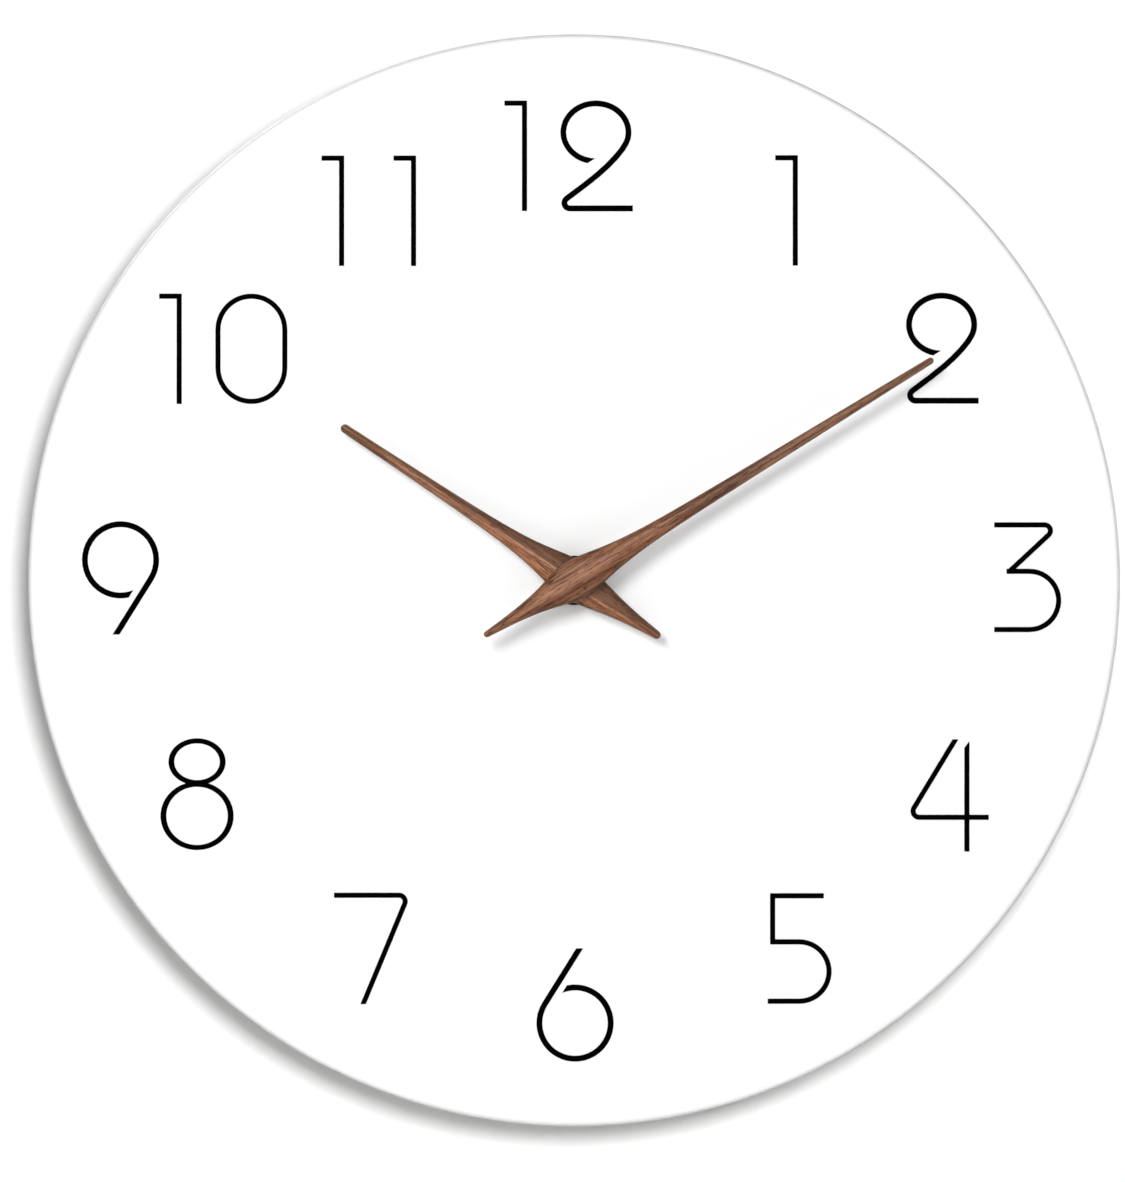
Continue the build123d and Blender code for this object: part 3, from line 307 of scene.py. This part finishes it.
def printed_ink():
    """Flat black ink that follows the tooth of the lacquer."""
    s = Shader("printed_ink", Specular_IOR_Level=0.004)
    mottle = s.noise(900, 5.0, 0.6)
    s.colour(s.ramp(mottle, (0.35, (0.0003, 0.0003, 0.0003)), (0.75, (0.0010, 0.0010, 0.0011))))
    s.roughness(s.vary(mottle, 0.5, 0.68))
    s.normal(s.bump(s.noise(2600, 3.0), 0.01 * MM))
    return s.material


def walnut(name, shift, slope, dark_side, gain):
    """Oiled walnut with its grain along Z.

    shift moves the figure and slope turns it a little. dark_side is the share by which the
    wood darkens towards +X near the hub, and gain lightens the whole.
    """
    s = Shader(name, Coat_Weight=0.03, Coat_Roughness=0.35, Specular_IOR_Level=0.18)
    turn = (0.0, slope, 0.0)
    wander = s.noise(1.0, 3.0, 0.55, s.stretch((260, 260, 22), shift, turn))
    figure = s.noise(1.0, 4.0, 0.62, s.stretch((1150, 900, 26), shift, turn), 0.5)
    streaks = s.noise(1.0, 3.0, 0.6, s.stretch((2300, 1800, 60), shift, turn), 0.3)
    fibres = s.noise(1.0, 3.0, 0.7, s.stretch((6200, 5200, 240), shift, turn))
    pores = s.noise(1.0, 1.0, 0.4, s.stretch((4300, 4300, 430), shift, turn), 0.2)
    knots = s.noise(1.0, 3.0, 0.7, s.stretch((1500, 1500, 700), shift, turn), 1.5)

    heart = s.ramp(figure, (0.30, (0.058, 0.020, 0.009)), (0.42, (0.165, 0.064, 0.031)),
                   (0.52, (0.290, 0.122, 0.066)), (0.64, (0.400, 0.182, 0.104)),
                   (0.78, (0.225, 0.088, 0.045)))
    tone = s.ramp(wander, (0.30, (0.60, 0.54, 0.48)), (0.50, (0.95, 0.94, 0.85)),
                  (0.72, (1.24, 1.17, 1.00)))
    wood = s.blend(1.0, s.blend(1.0, heart, tone, "MULTIPLY"), (gain, gain, gain), "MULTIPLY")
    outer = s.spread(s.math("ABSOLUTE", s.axis("Z")), 20 * MM, 60 * MM, smooth=True)
    wood = s.blend(outer, wood, s.blend(1.0, wood, (0.84, 0.96, 1.08), "MULTIPLY"))
    wood = s.blend(s.spread(streaks, 0.50, 0.70, 0.0, 0.72, True), wood, (0.085, 0.030, 0.016))
    wood = s.blend(s.spread(fibres, 0.55, 0.82, 0.0, 0.55), wood, (0.54, 0.31, 0.185))
    wood = s.blend(s.spread(fibres, 0.45, 0.22, 0.0, 0.60), wood, (0.10, 0.038, 0.022))
    wood = s.blend(s.spread(knots, 0.60, 0.72, 0.0, 0.30, True), wood, (0.46, 0.24, 0.14))
    ragged = s.math("ADD", s.axis("X"), s.math("MULTIPLY", streaks, 1.6 * MM))
    side = s.spread(ragged, 0.6 * MM, 1.3 * MM, 0.0, dark_side, True)
    hub = s.spread(s.axis("Z"), 52 * MM, 30 * MM, 0.0, 1.0, True)
    wood = s.blend(s.math("MULTIPLY", side, hub), wood, (0.075, 0.036, 0.021))
    open_pores = s.spread(pores, 0.63, 0.70)
    wood = s.blend(s.math("MULTIPLY", open_pores, 0.75), wood, (0.035, 0.013, 0.008))
    # painted shade: the wood darkens along the hand's sides and rear arrises, broken up by the fibres
    arris = s.attribute("arris")
    wood = s.blend(s.math("MULTIPLY", arris, s.vary(fibres, 0.55, 0.95)), wood,
                   (0.045, 0.020, 0.012))
    s.colour(wood)
    s.roughness(s.math("ADD", s.vary(figure, 0.50, 0.38),
                       s.math("MULTIPLY", open_pores, 0.25)))
    grain = s.bump(s.math("MULTIPLY", fibres, 0.6), 0.035 * MM)
    grain = s.bump(streaks, 0.06 * MM, over=grain)
    s.normal(s.bump(s.math("SUBTRACT", 1.0, open_pores), 0.09 * MM, over=grain))
    return s.material


def moulded_plastic(name, colour, wear_and_sheen, base_roughness):
    """Black moulding with a fine spark-eroded texture, a little dust, and rubbed arrises lightened by wear
    and painted sheen.
    """
    s = Shader(name, Specular_IOR_Level=0.45)
    grit = s.noise(5200, 2.0, 0.5)
    drift = s.noise(60, 4.0, 0.6)
    # rubbed arrises: wear, and a painted sheen where the edges turn lighter
    rubbed = s.math("MULTIPLY", s.edges(0.35 * MM), s.spread(s.noise(420, 4.0), 0.35, 0.65, 0.25, 1.0))
    body = s.blend(drift, colour, scaled(colour, 1.5))
    dust = s.spread(s.noise(240, 6.0, 0.7), 0.55, 0.8, 0.0, 0.12)
    body = s.blend(dust, body, (0.16, 0.155, 0.15))
    s.colour(s.blend(rubbed, body, wear_and_sheen))
    matt = s.vary(drift, base_roughness - 0.05, base_roughness + 0.08)
    s.roughness(s.math("SUBTRACT", matt, s.math("MULTIPLY", rubbed, 0.16)))
    s.normal(s.bump(grit, 0.028 * MM))
    return s.material


def black_rubber():
    """Matt rubber with a patchy grey bloom."""
    s = Shader("black_rubber", Specular_IOR_Level=0.3)
    bloom = s.noise(320, 5.0, 0.65)
    s.colour(s.ramp(bloom, (0.35, (0.012, 0.012, 0.012)), (0.7, (0.035, 0.034, 0.033))))
    s.roughness(s.vary(bloom, 0.72, 0.92))
    s.normal(s.bump(s.noise(3200, 3.0), 0.02 * MM))
    return s.material


def black_metal():
    """Satin black paint on a stamped washer, rubbed thin on its rims."""
    s = Shader("black_metal", Specular_IOR_Level=0.15)
    rubbed = s.math("MULTIPLY", s.edges(0.2 * MM), s.spread(s.noise(1500, 4.0), 0.5, 0.65))
    peel = s.noise(1800, 3.0)
    s.colour(s.blend(rubbed, s.ramp(peel, (0.3, (0.003, 0.003, 0.003)), (0.7, (0.007, 0.007, 0.007))),
                     (0.24, 0.235, 0.225)))
    s.roughness(s.vary(peel, 0.34, 0.5))
    s.normal(s.bump(peel, 0.012 * MM))
    return s.material


def metal(name, colour, dull, base_roughness, lay=None):
    """Metal with fine tool marks: a straight brushed lay, or turned rings about the arbor."""
    s = Shader(name, Metallic=1.0)
    tarnish = s.noise(420, 5.0, 0.65)
    if lay is None:
        ring = s.add("CombineXYZ")
        across_rings, along_arbor = 9000.0, 7000.0
        s.feed(ring.inputs[0], s.math("MULTIPLY", s.radius(ARBOR), across_rings))
        s.feed(ring.inputs[1], s.math("MULTIPLY", s.axis("Y"), along_arbor))
        marks = s.noise(1.0, 2.0, 0.6, ring.outputs[0])
    else:
        marks = s.noise(1.0, 3.0, 0.6, s.stretch(lay))
    # painted highlight: the arrises are lightened beyond the clean metal's own colour
    painted_edge_highlight = s.math("MULTIPLY", s.edges(0.12 * MM), 0.5)
    body = s.blend(s.spread(tarnish, 0.42, 0.72), colour, dull)
    body = s.blend(s.spread(marks, 0.35, 0.7, 0.0, 0.22), body, scaled(colour, 0.55))
    s.colour(s.blend(painted_edge_highlight, body, scaled(colour, 1.25)))
    s.roughness(s.math("ADD", s.vary(marks, base_roughness, base_roughness + 0.14),
                       s.spread(tarnish, 0.4, 0.75, 0.0, 0.12)))
    s.normal(s.bump(marks, 0.006 * MM))
    return s.material


def acetal():
    """Natural white gear plastic, a little cloudy, with mould lay and faint flow lines."""
    s = Shader("white_acetal", Subsurface_Weight=0.12, Subsurface_Scale=0.5 * MM, Specular_IOR_Level=0.5)
    cloud = s.noise(240, 4.0, 0.6)
    s.colour(s.ramp(cloud, (0.3, (0.70, 0.685, 0.63)), (0.7, (0.82, 0.81, 0.77))))
    s.roughness(s.vary(cloud, 0.34, 0.48))
    s.normal(s.bump(s.noise(1.0, 2.0, 0.5, s.stretch((2600, 700, 2600))), 0.008 * MM))
    return s.material


def enamelled_wire():
    """Hair-fine copper turns laid side by side along the bobbin."""
    s = Shader("enamelled_wire", Metallic=1.0, Coat_Weight=0.35, Coat_Roughness=0.15)
    pitch, wander = 0.14 * MM, 9.0
    lean = s.math("MULTIPLY", s.noise(160, 2.0), wander)
    turn = s.math("ADD", s.math("MULTIPLY", s.axis("Z"), 2 * pi / pitch), lean)
    crown = s.spread(s.math("SINE", turn), -1.0, 1.0)
    # painted shade in the grooves between turns and a painted highlight on each crown
    s.colour(s.ramp(crown, (0.1, (0.16, 0.045, 0.018)), (0.6, (0.66, 0.25, 0.10)),
                    (1.0, (0.86, 0.42, 0.20))))
    s.roughness(s.vary(s.noise(900, 3.0), 0.22, 0.36))
    s.normal(s.bump(crown, 0.05 * MM))
    return s.material


def circuit_laminate():
    """Green solder mask over etched tracks on a paper laminate."""
    s = Shader("circuit_laminate", Coat_Weight=0.3, Coat_Roughness=0.2)
    tracks = s.add("TexBrick", offset=0.5, squash=1.0)
    s.feed(tracks.inputs["Vector"], s.stretch((240, 240, 240), turn=(radians(90), 0, 0)))
    for socket, value in (("Scale", 1.0), ("Mortar Size", 0.10), ("Mortar Smooth", 0.25)):
        tracks.inputs[socket].default_value = value
    gaps = tracks.outputs["Fac"]
    mask = s.blend(gaps, (0.030, 0.165, 0.062), (0.014, 0.085, 0.034))
    s.colour(s.blend(s.spread(s.noise(700, 5.0), 0.4, 0.7, 0.0, 0.25), mask, (0.05, 0.22, 0.09)))
    s.roughness(s.vary(s.noise(500, 3.0), 0.28, 0.42))
    s.normal(s.bump(s.math("SUBTRACT", 1.0, gaps), 0.035 * MM))
    return s.material


def chip_resin():
    """A glossy drop of black resin."""
    s = Shader("chip_resin", Coat_Weight=0.5, Coat_Roughness=0.08)
    swirl = s.noise(900, 4.0, 0.6)
    s.colour(s.ramp(swirl, (0.3, (0.006, 0.006, 0.006)), (0.75, (0.016, 0.016, 0.015))))
    s.roughness(s.vary(swirl, 0.16, 0.34))
    s.normal(s.bump(swirl, 0.02 * MM))
    return s.material


def sintered_magnet():
    """Dark grey pressed grains."""
    s = Shader("sintered_magnet", Metallic=0.75)
    grit = s.cells(5200)
    s.colour(s.ramp(grit, (0.1, (0.055, 0.053, 0.05)), (0.7, (0.17, 0.165, 0.16))))
    s.roughness(s.vary(s.noise(1500, 4.0), 0.45, 0.68))
    s.normal(s.bump(grit, 0.02 * MM))
    return s.material


def cell_wrapper():
    """Printed shrink film: a slate body, pale rings, and polarity marks on the side that shows."""
    s = Shader("cell_wrapper", Coat_Weight=0.6, Coat_Roughness=0.12, Specular_IOR_Level=0.5)
    low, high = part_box("battery_sleeve")
    collar_end, top_ring, foot_ring = low.x + 9.5 * MM, 0.9 * MM, 0.7 * MM
    foot_start = high.x - 4.2 * MM
    along = s.axis("X")
    collar = s.between(along, low.x, collar_end)
    pale = s.math("MAXIMUM", s.between(along, collar_end, collar_end + top_ring),
                  s.between(along, foot_start, foot_start + foot_ring))
    film = s.noise(90, 4.0)
    body = s.blend(film, (0.040, 0.062, 0.085), (0.058, 0.085, 0.112))
    body = s.blend(collar, body, (0.105, 0.33, 0.36))
    body = s.blend(pale, body, (0.72, 0.74, 0.74))
    up = s.axis("Z")

    def bar(x, half_x, half_z):
        return s.math("MULTIPLY", s.near(along, x, half_x), s.near(up, (low.z + high.z) / 2, half_z))

    long_arm, short_arm = 1.7 * MM, 0.42 * MM
    plus_x, minus_x = low.x + 5 * MM, high.x - 8 * MM
    plus = s.math("MAXIMUM", bar(plus_x, long_arm, short_arm), bar(plus_x, short_arm, long_arm))
    minus = bar(minus_x, long_arm, short_arm)
    s.colour(s.blend(s.math("MAXIMUM", plus, minus), body, (0.80, 0.81, 0.80)))
    s.roughness(s.vary(film, 0.22, 0.32))
    wrinkles = s.noise(1.0, 3.0, 0.6, s.stretch((160, 500, 500)), 0.6)
    s.normal(s.bump(wrinkles, 0.05 * MM))
    return s.material


NODE_MATERIALS = {
    printed_ink(): ("dial_numerals",),
    black_rubber(): ("rubber_washer",),
    black_metal(): ("dress_washer",),
    metal("turned_brass", (0.72, 0.50, 0.22), (0.48, 0.32, 0.13), 0.20): (
        "hex_nut", "threaded_bushing", "clutch_spring", "hour_hand_bush", "minute_hand_bush"),
    moulded_plastic("case_plastic", (0.018, 0.018, 0.019), (0.075, 0.075, 0.078), 0.52): (
        "movement_front_case", "movement_rear_case"),
    moulded_plastic("knob_plastic", (0.035, 0.035, 0.037), (0.12, 0.12, 0.125), 0.42): (
        "setting_knob",),
    circuit_laminate(): ("circuit_board",),
    chip_resin(): ("chip_cover",),
    metal("tin_plate", (0.74, 0.74, 0.72), (0.50, 0.49, 0.46), 0.20, (300, 4200, 5200)): (
        "quartz_crystal", "stator_screws", "coil_terminals", "positive_contact", "negative_contact",
        "battery_can", "battery_button", "minute_arbor"),
    metal("soft_iron", (0.46, 0.45, 0.43), (0.27, 0.24, 0.21), 0.36, (3000, 3000, 240)): (
        "stator", "coil_core"),
    acetal(): ("coil_bobbin", "rotor_pinion", "middle_wheel", "second_wheel", "third_wheel",
               "centre_wheel", "motion_wheel", "hour_wheel"),
    enamelled_wire(): ("coil_winding",),
    cell_wrapper(): ("battery_sleeve",),
    sintered_magnet(): ("rotor_magnet",),
}
for material, nodes in NODE_MATERIALS.items():
    for node in nodes:
        NODES[node].material_slots[0].material = material


# ------------------------------------------------------------ mesh helpers
def add_object(name, data):
    added = bpy.data.objects.new(name, data)
    bpy.context.scene.collection.objects.link(added)
    return added


def new_piece(name, mesh, material, body, replaced, place=Matrix.Identity(4)):
    """A visible piece that rides on a body and stands for one CAD node."""
    mesh.materials.append(material)
    piece = add_object(name, mesh)
    piece.matrix_world = place
    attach(piece, body)
    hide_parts(replaced)


def set_attribute(mesh, name, values):
    mesh.attributes.new(name, "FLOAT", "POINT").data.foreach_set("value", values)


def join_rows(build, rows):
    """Quads between each closed row of vertices and the next."""
    count = len(rows[0])
    for first, second in zip(rows, rows[1:]):
        for i in range(count):
            j = (i + 1) % count
            build.faces.new((first[i], first[j], second[j], second[i]))


def smooth_mesh(name, build):
    """Turns a finished bmesh into a smooth-shaded mesh whose normals point out."""
    bmesh.ops.recalc_face_normals(build, faces=build.faces)
    for face in build.faces:
        face.smooth = True
    mesh = bpy.data.meshes.new(name)
    build.to_mesh(mesh)
    build.free()
    return mesh


# ------------------------------------------------------------ carved hands
BLADE_STEPS, TAIL_STEPS = 150, 60   # sections from the arbor to where each cap starts
STEP_CROWDING = 1.25                # above 1, the sections stand closer near the arbor
CAP_STEPS = 9                       # sections round each end
CAP_PROBE = 0.95                    # share of the length where a cap's radius is read
TIP_FLAT = 0.03                     # keeps the last section from closing to a point
CROWN_SPREAD = 22 * MM              # the hand is thickest over the arbor and thins over this length
SIDE_SHARE = 0.35                   # of the thickness, left as a low side below the dome
DOME_POWER = 0.92                   # below 1, the dome is a little fuller than an ellipse
FRONT_STEPS = 36
REAR_EDGE_STEPS = 4
REAR_EDGE_EASE = 0.35 * MM
FACET_DEPTH, FACET_WIDTH, FACET_LENGTH = 0.025 * MM, 1.6 * MM, 9 * MM
ARRIS_POWER = 9                     # how sharply the painted shade on the hand's sides fades towards the crown


class CarvedHand:
    """A walnut hand in its own frame: Z runs to the tip, -Y is the front, the arbor is at 0.

    Its half width at a distance r is base - taper * r plus a swelling that
    fades as 1 / cosh(r / spread), with one taper and spread for each side.
    """

    def __init__(self, node, base, swelling, tapers, spreads):
        self.base = base
        self.swelling = swelling
        self.tapers = tapers
        self.spreads = spreads
        low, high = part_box(node)
        self.back = high.y
        self.thickness = high.y - low.y
        reaches = [Vector((v.co.x - ARBOR.x, v.co.z - ARBOR.z)) for v in NODES[node].data.vertices]
        tip = max(reaches, key=lambda reach: reach.length)
        self.length = tip.length
        end = sorted((reach for reach in reaches if reach.length > self.length - MM), key=tip.cross)
        self.heading = (end[0].normalized() + end[-1].normalized()).normalized()
        self.tail = -min(reach.dot(self.heading) for reach in reaches)

    def half_width(self, reach):
        side = 0 if reach >= 0 else 1
        distance = abs(reach)
        end = self.length if side == 0 else self.tail
        width = self.base - self.tapers[side] * distance
        width += self.swelling / cosh(distance / self.spreads[side])
        overrun = max(0.0, distance - (end - width)) / width
        return width * sqrt(max(TIP_FLAT, 1 - overrun ** 2))

    def height(self, reach):
        return self.thickness * (0.5 + 0.5 / cosh(reach / CROWN_SPREAD))

    def stations(self):
        places = []
        for end, steps, sign in ((self.length, BLADE_STEPS, 1), (self.tail, TAIL_STEPS, -1)):
            cap = self.half_width(sign * end * CAP_PROBE)
            places += [sign * (end - cap) * (step / steps) ** STEP_CROWDING for step in range(steps + 1)]
            places += [sign * (end - cap * (1 - sin(pi / 2 * turn / CAP_STEPS)))
                       for turn in range(1, CAP_STEPS + 1)]
        return sorted(set(places))

    def section(self, reach):
        """A flat back with eased arrises, low sides and a domed front with knife facets."""
        half, height = self.half_width(reach), self.height(reach)
        side = SIDE_SHARE * height
        ease = min(REAR_EDGE_EASE, 0.4 * half, 0.9 * side)
        ring, shares = [], []
        for i in range(FRONT_STEPS + 1):
            angle = pi * i / FRONT_STEPS
            across = half * cos(angle)
            facet = FACET_DEPTH * noise.noise(Vector((across / FACET_WIDTH, 0, reach / FACET_LENGTH)))
            rise = side + (height - side) * sin(angle) ** DOME_POWER
            inset = facet * sin(angle)
            ring.append(Vector((across, self.back - rise + abs(inset), reach)))
            shares.append(abs(cos(angle)) ** ARRIS_POWER)
        turns = [pi / 2 * step / REAR_EDGE_STEPS for step in range(REAR_EDGE_STEPS + 1)]
        for sign, corner in ((-1, turns), (1, turns[::-1])):
            for angle in corner:
                across = sign * (half - ease + ease * cos(angle))
                ring.append(Vector((across, self.back - ease + ease * sin(angle), reach)))
                shares.append(1.0)
        return ring, shares

    def build(self, name, material, body, node):
        sections = [self.section(reach) for reach in self.stations()]
        build = bmesh.new()
        rows = [[build.verts.new(point) for point in ring] for ring, shares in sections]
        join_rows(build, rows)
        build.faces.new(reversed(rows[0]))
        build.faces.new(rows[-1])
        mesh = smooth_mesh(name, build)
        # the arris share holds the painted shade: 1 on the sides and rear arrises, 0 on the crown
        set_attribute(mesh, "arris", [share for ring, shares in sections for share in shares])
        across = Vector((self.heading.y, 0, -self.heading.x))
        along = Vector((self.heading.x, 0, self.heading.y))
        turn = Matrix((across, Vector((0, 1, 0)), along)).transposed().to_4x4()
        new_piece(name, mesh, material, body, node, Matrix.Translation(ARBOR) @ turn)


hour_shape = CarvedHand("hour_hand", base=2.2 * MM, swelling=3.3 * MM, tapers=(0.0133, 0.052),
                        spreads=(8.8 * MM, 9.4 * MM))
minute_shape = CarvedHand("minute_hand", base=2.4 * MM, swelling=3.1 * MM, tapers=(0.0128, 0.058),
                          spreads=(9 * MM, 7 * MM))
hour_shape.build(
    "hour_hand_carved",
    walnut("walnut_hour", shift=(3.1, 7.7, 0.4), slope=0.02, dark_side=0.72, gain=1.22),
    "hour_works", "hour_hand")
minute_shape.build(
    "minute_hand_carved",
    walnut("walnut_minute", shift=(9.4, 2.2, 5.3), slope=-0.03, dark_side=0.0, gain=1.04),
    "minute_works", "minute_hand")


# ------------------------------------------------------------ dial board
RIM_POINTS = 360
ARC_STEPS = 6                       # along each eased arris
HOLE_RADIUS = 4.05 * MM
HOLE_EASE = 0.25 * MM
RIM_EASE = 1.3 * MM
REAR_EASE = 0.35 * MM
BACKING_MARGIN = 0.5 * MM           # the paper's last ring, in from the rear arris
FRONT_RINGS = (0.98, 0.9, 0.7, 0.45, 0.2, 0.08)
REAR_RINGS = (0.05, 0.12, 0.3, 0.5, 0.7, 0.85, 0.95)
RIM_RINGS = ((0.16, 0.45), (0.28, 0.1), (0.4, 0.0), (0.6, 0.0))     # (share of the depth, raw board)


def board_profile():
    """(radius, y, painted rim shade, backing, raw board) round the section, from the front of the hole."""
    quarter = [pi / 2 * step / ARC_STEPS for step in range(ARC_STEPS + 1)]
    rear_rim = DIAL_RADIUS - REAR_EASE
    profile = [(HOLE_RADIUS + HOLE_EASE, BOARD_FRONT, 0.0, 0.0, 0.0),
               (HOLE_RADIUS, BOARD_FRONT + HOLE_EASE, 0.0, 0.0, 0.5),
               (HOLE_RADIUS, BOARD_BACK - HOLE_EASE, 0.0, 0.0, 1.0),
               (HOLE_RADIUS + HOLE_EASE, BOARD_BACK, 0.0, 1.0, 0.2)]
    profile += [(DIAL_RADIUS * share, BOARD_BACK, 0.0, 1.0, 0.0) for share in REAR_RINGS]
    profile += [(rear_rim - BACKING_MARGIN, BOARD_BACK, 0.0, 1.0, 0.0)]
    profile += [(rear_rim + REAR_EASE * sin(turn), BOARD_BACK - REAR_EASE * (1 - cos(turn)),
                 0.0, 1.0 if turn == 0 else 0.0, 0.75) for turn in quarter]
    # painted rim shade: full along the rim, fading over the eased front arris towards the face
    profile += [(DIAL_RADIUS, BOARD_BACK + (BOARD_FRONT - BOARD_BACK) * share, 1.0, 0.0, raw)
                for share, raw in RIM_RINGS]
    profile += [(DIAL_RADIUS - RIM_EASE * (1 - cos(turn)), BOARD_FRONT + RIM_EASE * (1 - sin(turn)),
                 max(0.0, cos(turn)), 0.0, 0.0) for turn in quarter]
    profile += [(DIAL_RADIUS * share, BOARD_FRONT, 0.0, 0.0, 0.0) for share in FRONT_RINGS]
    return profile


def dial_board(material):
    """The board's section turned about the dial's centre."""
    profile = board_profile()
    build = bmesh.new()
    marks = [build.verts.layers.float.new(name) for name in ("painted_rim_shade", "backing", "raw_board")]
    rows = []
    for step in range(RIM_POINTS):
        angle = 2 * pi * step / RIM_POINTS
        row = []
        for radius, y, *shares in profile:
            vertex = build.verts.new((DIAL_CENTRE.x + radius * sin(angle), y,
                                      DIAL_CENTRE.z + radius * cos(angle)))
            for mark, share in zip(marks, shares):
                vertex[mark] = share
            row.append(vertex)
        rows.append(row)
    join_rows(build, rows + rows[:1])
    mesh = smooth_mesh("dial_board_lacquered", build)
    new_piece("dial_board_lacquered", mesh, material, "clock", "dial_board")


dial_board(board_faces())


# ------------------------------------------------------------ stage, light and camera
GLOW = 0.55
GLOW_STARTS, GLOW_FULL = 0.25, 0.9  # distances from the dial's centre


def stage_white(name, camera_only=False):
    """Matt white on the side of the object, and clear from behind.

    The camera also sees a glow that grows with the distance from the dial, so that the
    sheet stays pale at its far end. With camera_only, the sheet is clear to lamps and
    bounced light as well.
    """
    s = Shader(name, Roughness=0.9, Specular_IOR_Level=0.1, Emission_Color=(1.0, 1.0, 1.0, 1.0))
    seen = s.add("LightPath").outputs["Is Camera Ray"]
    far = s.spread(s.radius(DIAL_CENTRE), GLOW_STARTS, GLOW_FULL, 0.0, GLOW, True)
    s.feed(s.surface.inputs["Emission Strength"], s.math("MULTIPLY", seen, far))
    s.colour(s.blend(s.noise(2.0, 3.0), (0.90, 0.90, 0.90), (0.92, 0.92, 0.92)))
    clear = s.add("BsdfTransparent")
    mixer = s.add("MixShader")
    share = s.math("SUBTRACT", 1.0, s.add("NewGeometry").outputs["Backfacing"])
    if camera_only:
        share = s.math("MULTIPLY", share, seen)
    s.feed(mixer.inputs[0], share)
    s.feed(mixer.inputs[1], clear.outputs[0])
    s.feed(mixer.inputs[2], s.surface.outputs[0])
    s.feed(s.tree.nodes["Material Output"].inputs["Surface"], mixer.outputs[0])
    return s.material


def stage_sheet(name, corners, material):
    mesh = bpy.data.meshes.new(name)
    mesh.from_pydata(corners, [], [(0, 1, 2, 3)])
    mesh.materials.append(material)
    sheet = add_object(name, mesh)
    sheet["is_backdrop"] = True
    return sheet


REACH = 9.0
FLOOR_Z = -1.1
WALL_Y = 0.3 * MM                   # just behind the case, so that the two never share a plane
wall = stage_sheet(
    "wall",
    [(-REACH, WALL_Y, FLOOR_Z), (REACH, WALL_Y, FLOOR_Z), (REACH, WALL_Y, REACH), (-REACH, WALL_Y, REACH)],
    stage_white("wall_white", camera_only=True))
floor = stage_sheet(
    "floor",
    [(-REACH, -REACH, FLOOR_Z), (REACH, -REACH, FLOOR_Z), (REACH, REACH, FLOOR_Z), (-REACH, REACH, FLOOR_Z)],
    stage_white("floor_white"))


def group(name, *members):
    """A collection for light linking; it isn't linked to the scene."""
    collection = bpy.data.collections.new(name)
    for member in members:
        collection.objects.link(member)
    return collection


def soft_box(name, direction, distance, diameter, watts):
    """A round area lamp that faces the dial from a direction."""
    data = bpy.data.lights.new(name, "AREA")
    data.shape = "DISK"
    data.size = diameter
    data.energy = watts
    lamp = add_object(name, data)
    away = Vector(direction).normalized()
    lamp.location = DIAL_CENTRE + away * distance
    lamp.rotation_euler = away.to_track_quat("Z", "Y").to_euler()
    lamp.visible_camera = False
    return lamp


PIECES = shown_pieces()
HANDS = [piece for piece in PIECES if body_of(piece)[0] in ("hour_works", "minute_works")]
hand_key = soft_box("hand_key", (-0.32, -1.0, 0.34), distance=2.2, diameter=0.78, watts=25)
front_fill = soft_box("front_fill", (0.0, -1.0, 0.06), distance=2.4, diameter=1.0, watts=16)
wall_key = soft_box("wall_key", (0.112, -1.0, 0.158), distance=2.2, diameter=0.67, watts=42.5)
rear_key = soft_box("rear_key", (-0.7, 1.0, 0.8), distance=2.2, diameter=1.0, watts=38)
rear_fill = soft_box("rear_fill", (0.9, 1.0, 0.1), distance=2.2, diameter=1.2, watts=18)

# the rear lamps light what they reach directly and nothing else
for lamp in (rear_key, rear_fill):
    lamp.data.cycles.max_bounces = 0
# the hands' shadows fall to the lower right and the board's to the lower left, so the object
# and the wall have a key lamp each, and the fill throws no shadows of the hands
on_object = group("lit_object", *PIECES)
hand_key.light_linking.receiver_collection = on_object
front_fill.light_linking.receiver_collection = on_object
front_fill.light_linking.blocker_collection = group(
    "shading_front_fill", *[piece for piece in PIECES if piece not in HANDS])
wall_key.light_linking.receiver_collection = group("lit_stage", wall, floor)

AMBIENT = 0.25
BACKDROP = 0.85


def studio_world():
    """Even white light all round, with a brighter white where the camera sees past the stage."""
    world = bpy.data.worlds.new("studio")
    world.use_nodes = True
    nodes, links = world.node_tree.nodes, world.node_tree.links
    seen = nodes.new("ShaderNodeLightPath").outputs["Is Camera Ray"]
    strength = nodes.new("ShaderNodeMapRange")
    strength.inputs["To Min"].default_value = AMBIENT
    strength.inputs["To Max"].default_value = BACKDROP
    links.new(seen, strength.inputs["Value"])
    background = nodes["Background"]
    background.inputs["Color"].default_value = (1.0, 1.0, 1.0, 1.0)
    links.new(strength.outputs["Result"], background.inputs["Strength"])
    return world


bpy.context.scene.world = studio_world()
bpy.context.scene.view_settings.view_transform = "Standard"

CAMERA_DISTANCE = 4.0
SENSOR_MM = 36.0                    # along the picture's longer side, its height
FRAME_HEIGHT = 1.082 * DIAL_DIAMETER
RIGHT_OF_MIDDLE = 0.0108 * DIAL_DIAMETER    # where the dial stands in the picture
ABOVE_MIDDLE = 0.0097 * DIAL_DIAMETER
camera_data = bpy.data.cameras.new("camera")
camera_data.lens = SENSOR_MM * CAMERA_DISTANCE / FRAME_HEIGHT
camera = add_object("camera", camera_data)
camera.location = DIAL_CENTRE + Vector((-RIGHT_OF_MIDDLE, -CAMERA_DISTANCE, -ABOVE_MIDDLE))
camera.rotation_euler = Euler((radians(90), 0, 0))
bpy.context.scene.camera = camera
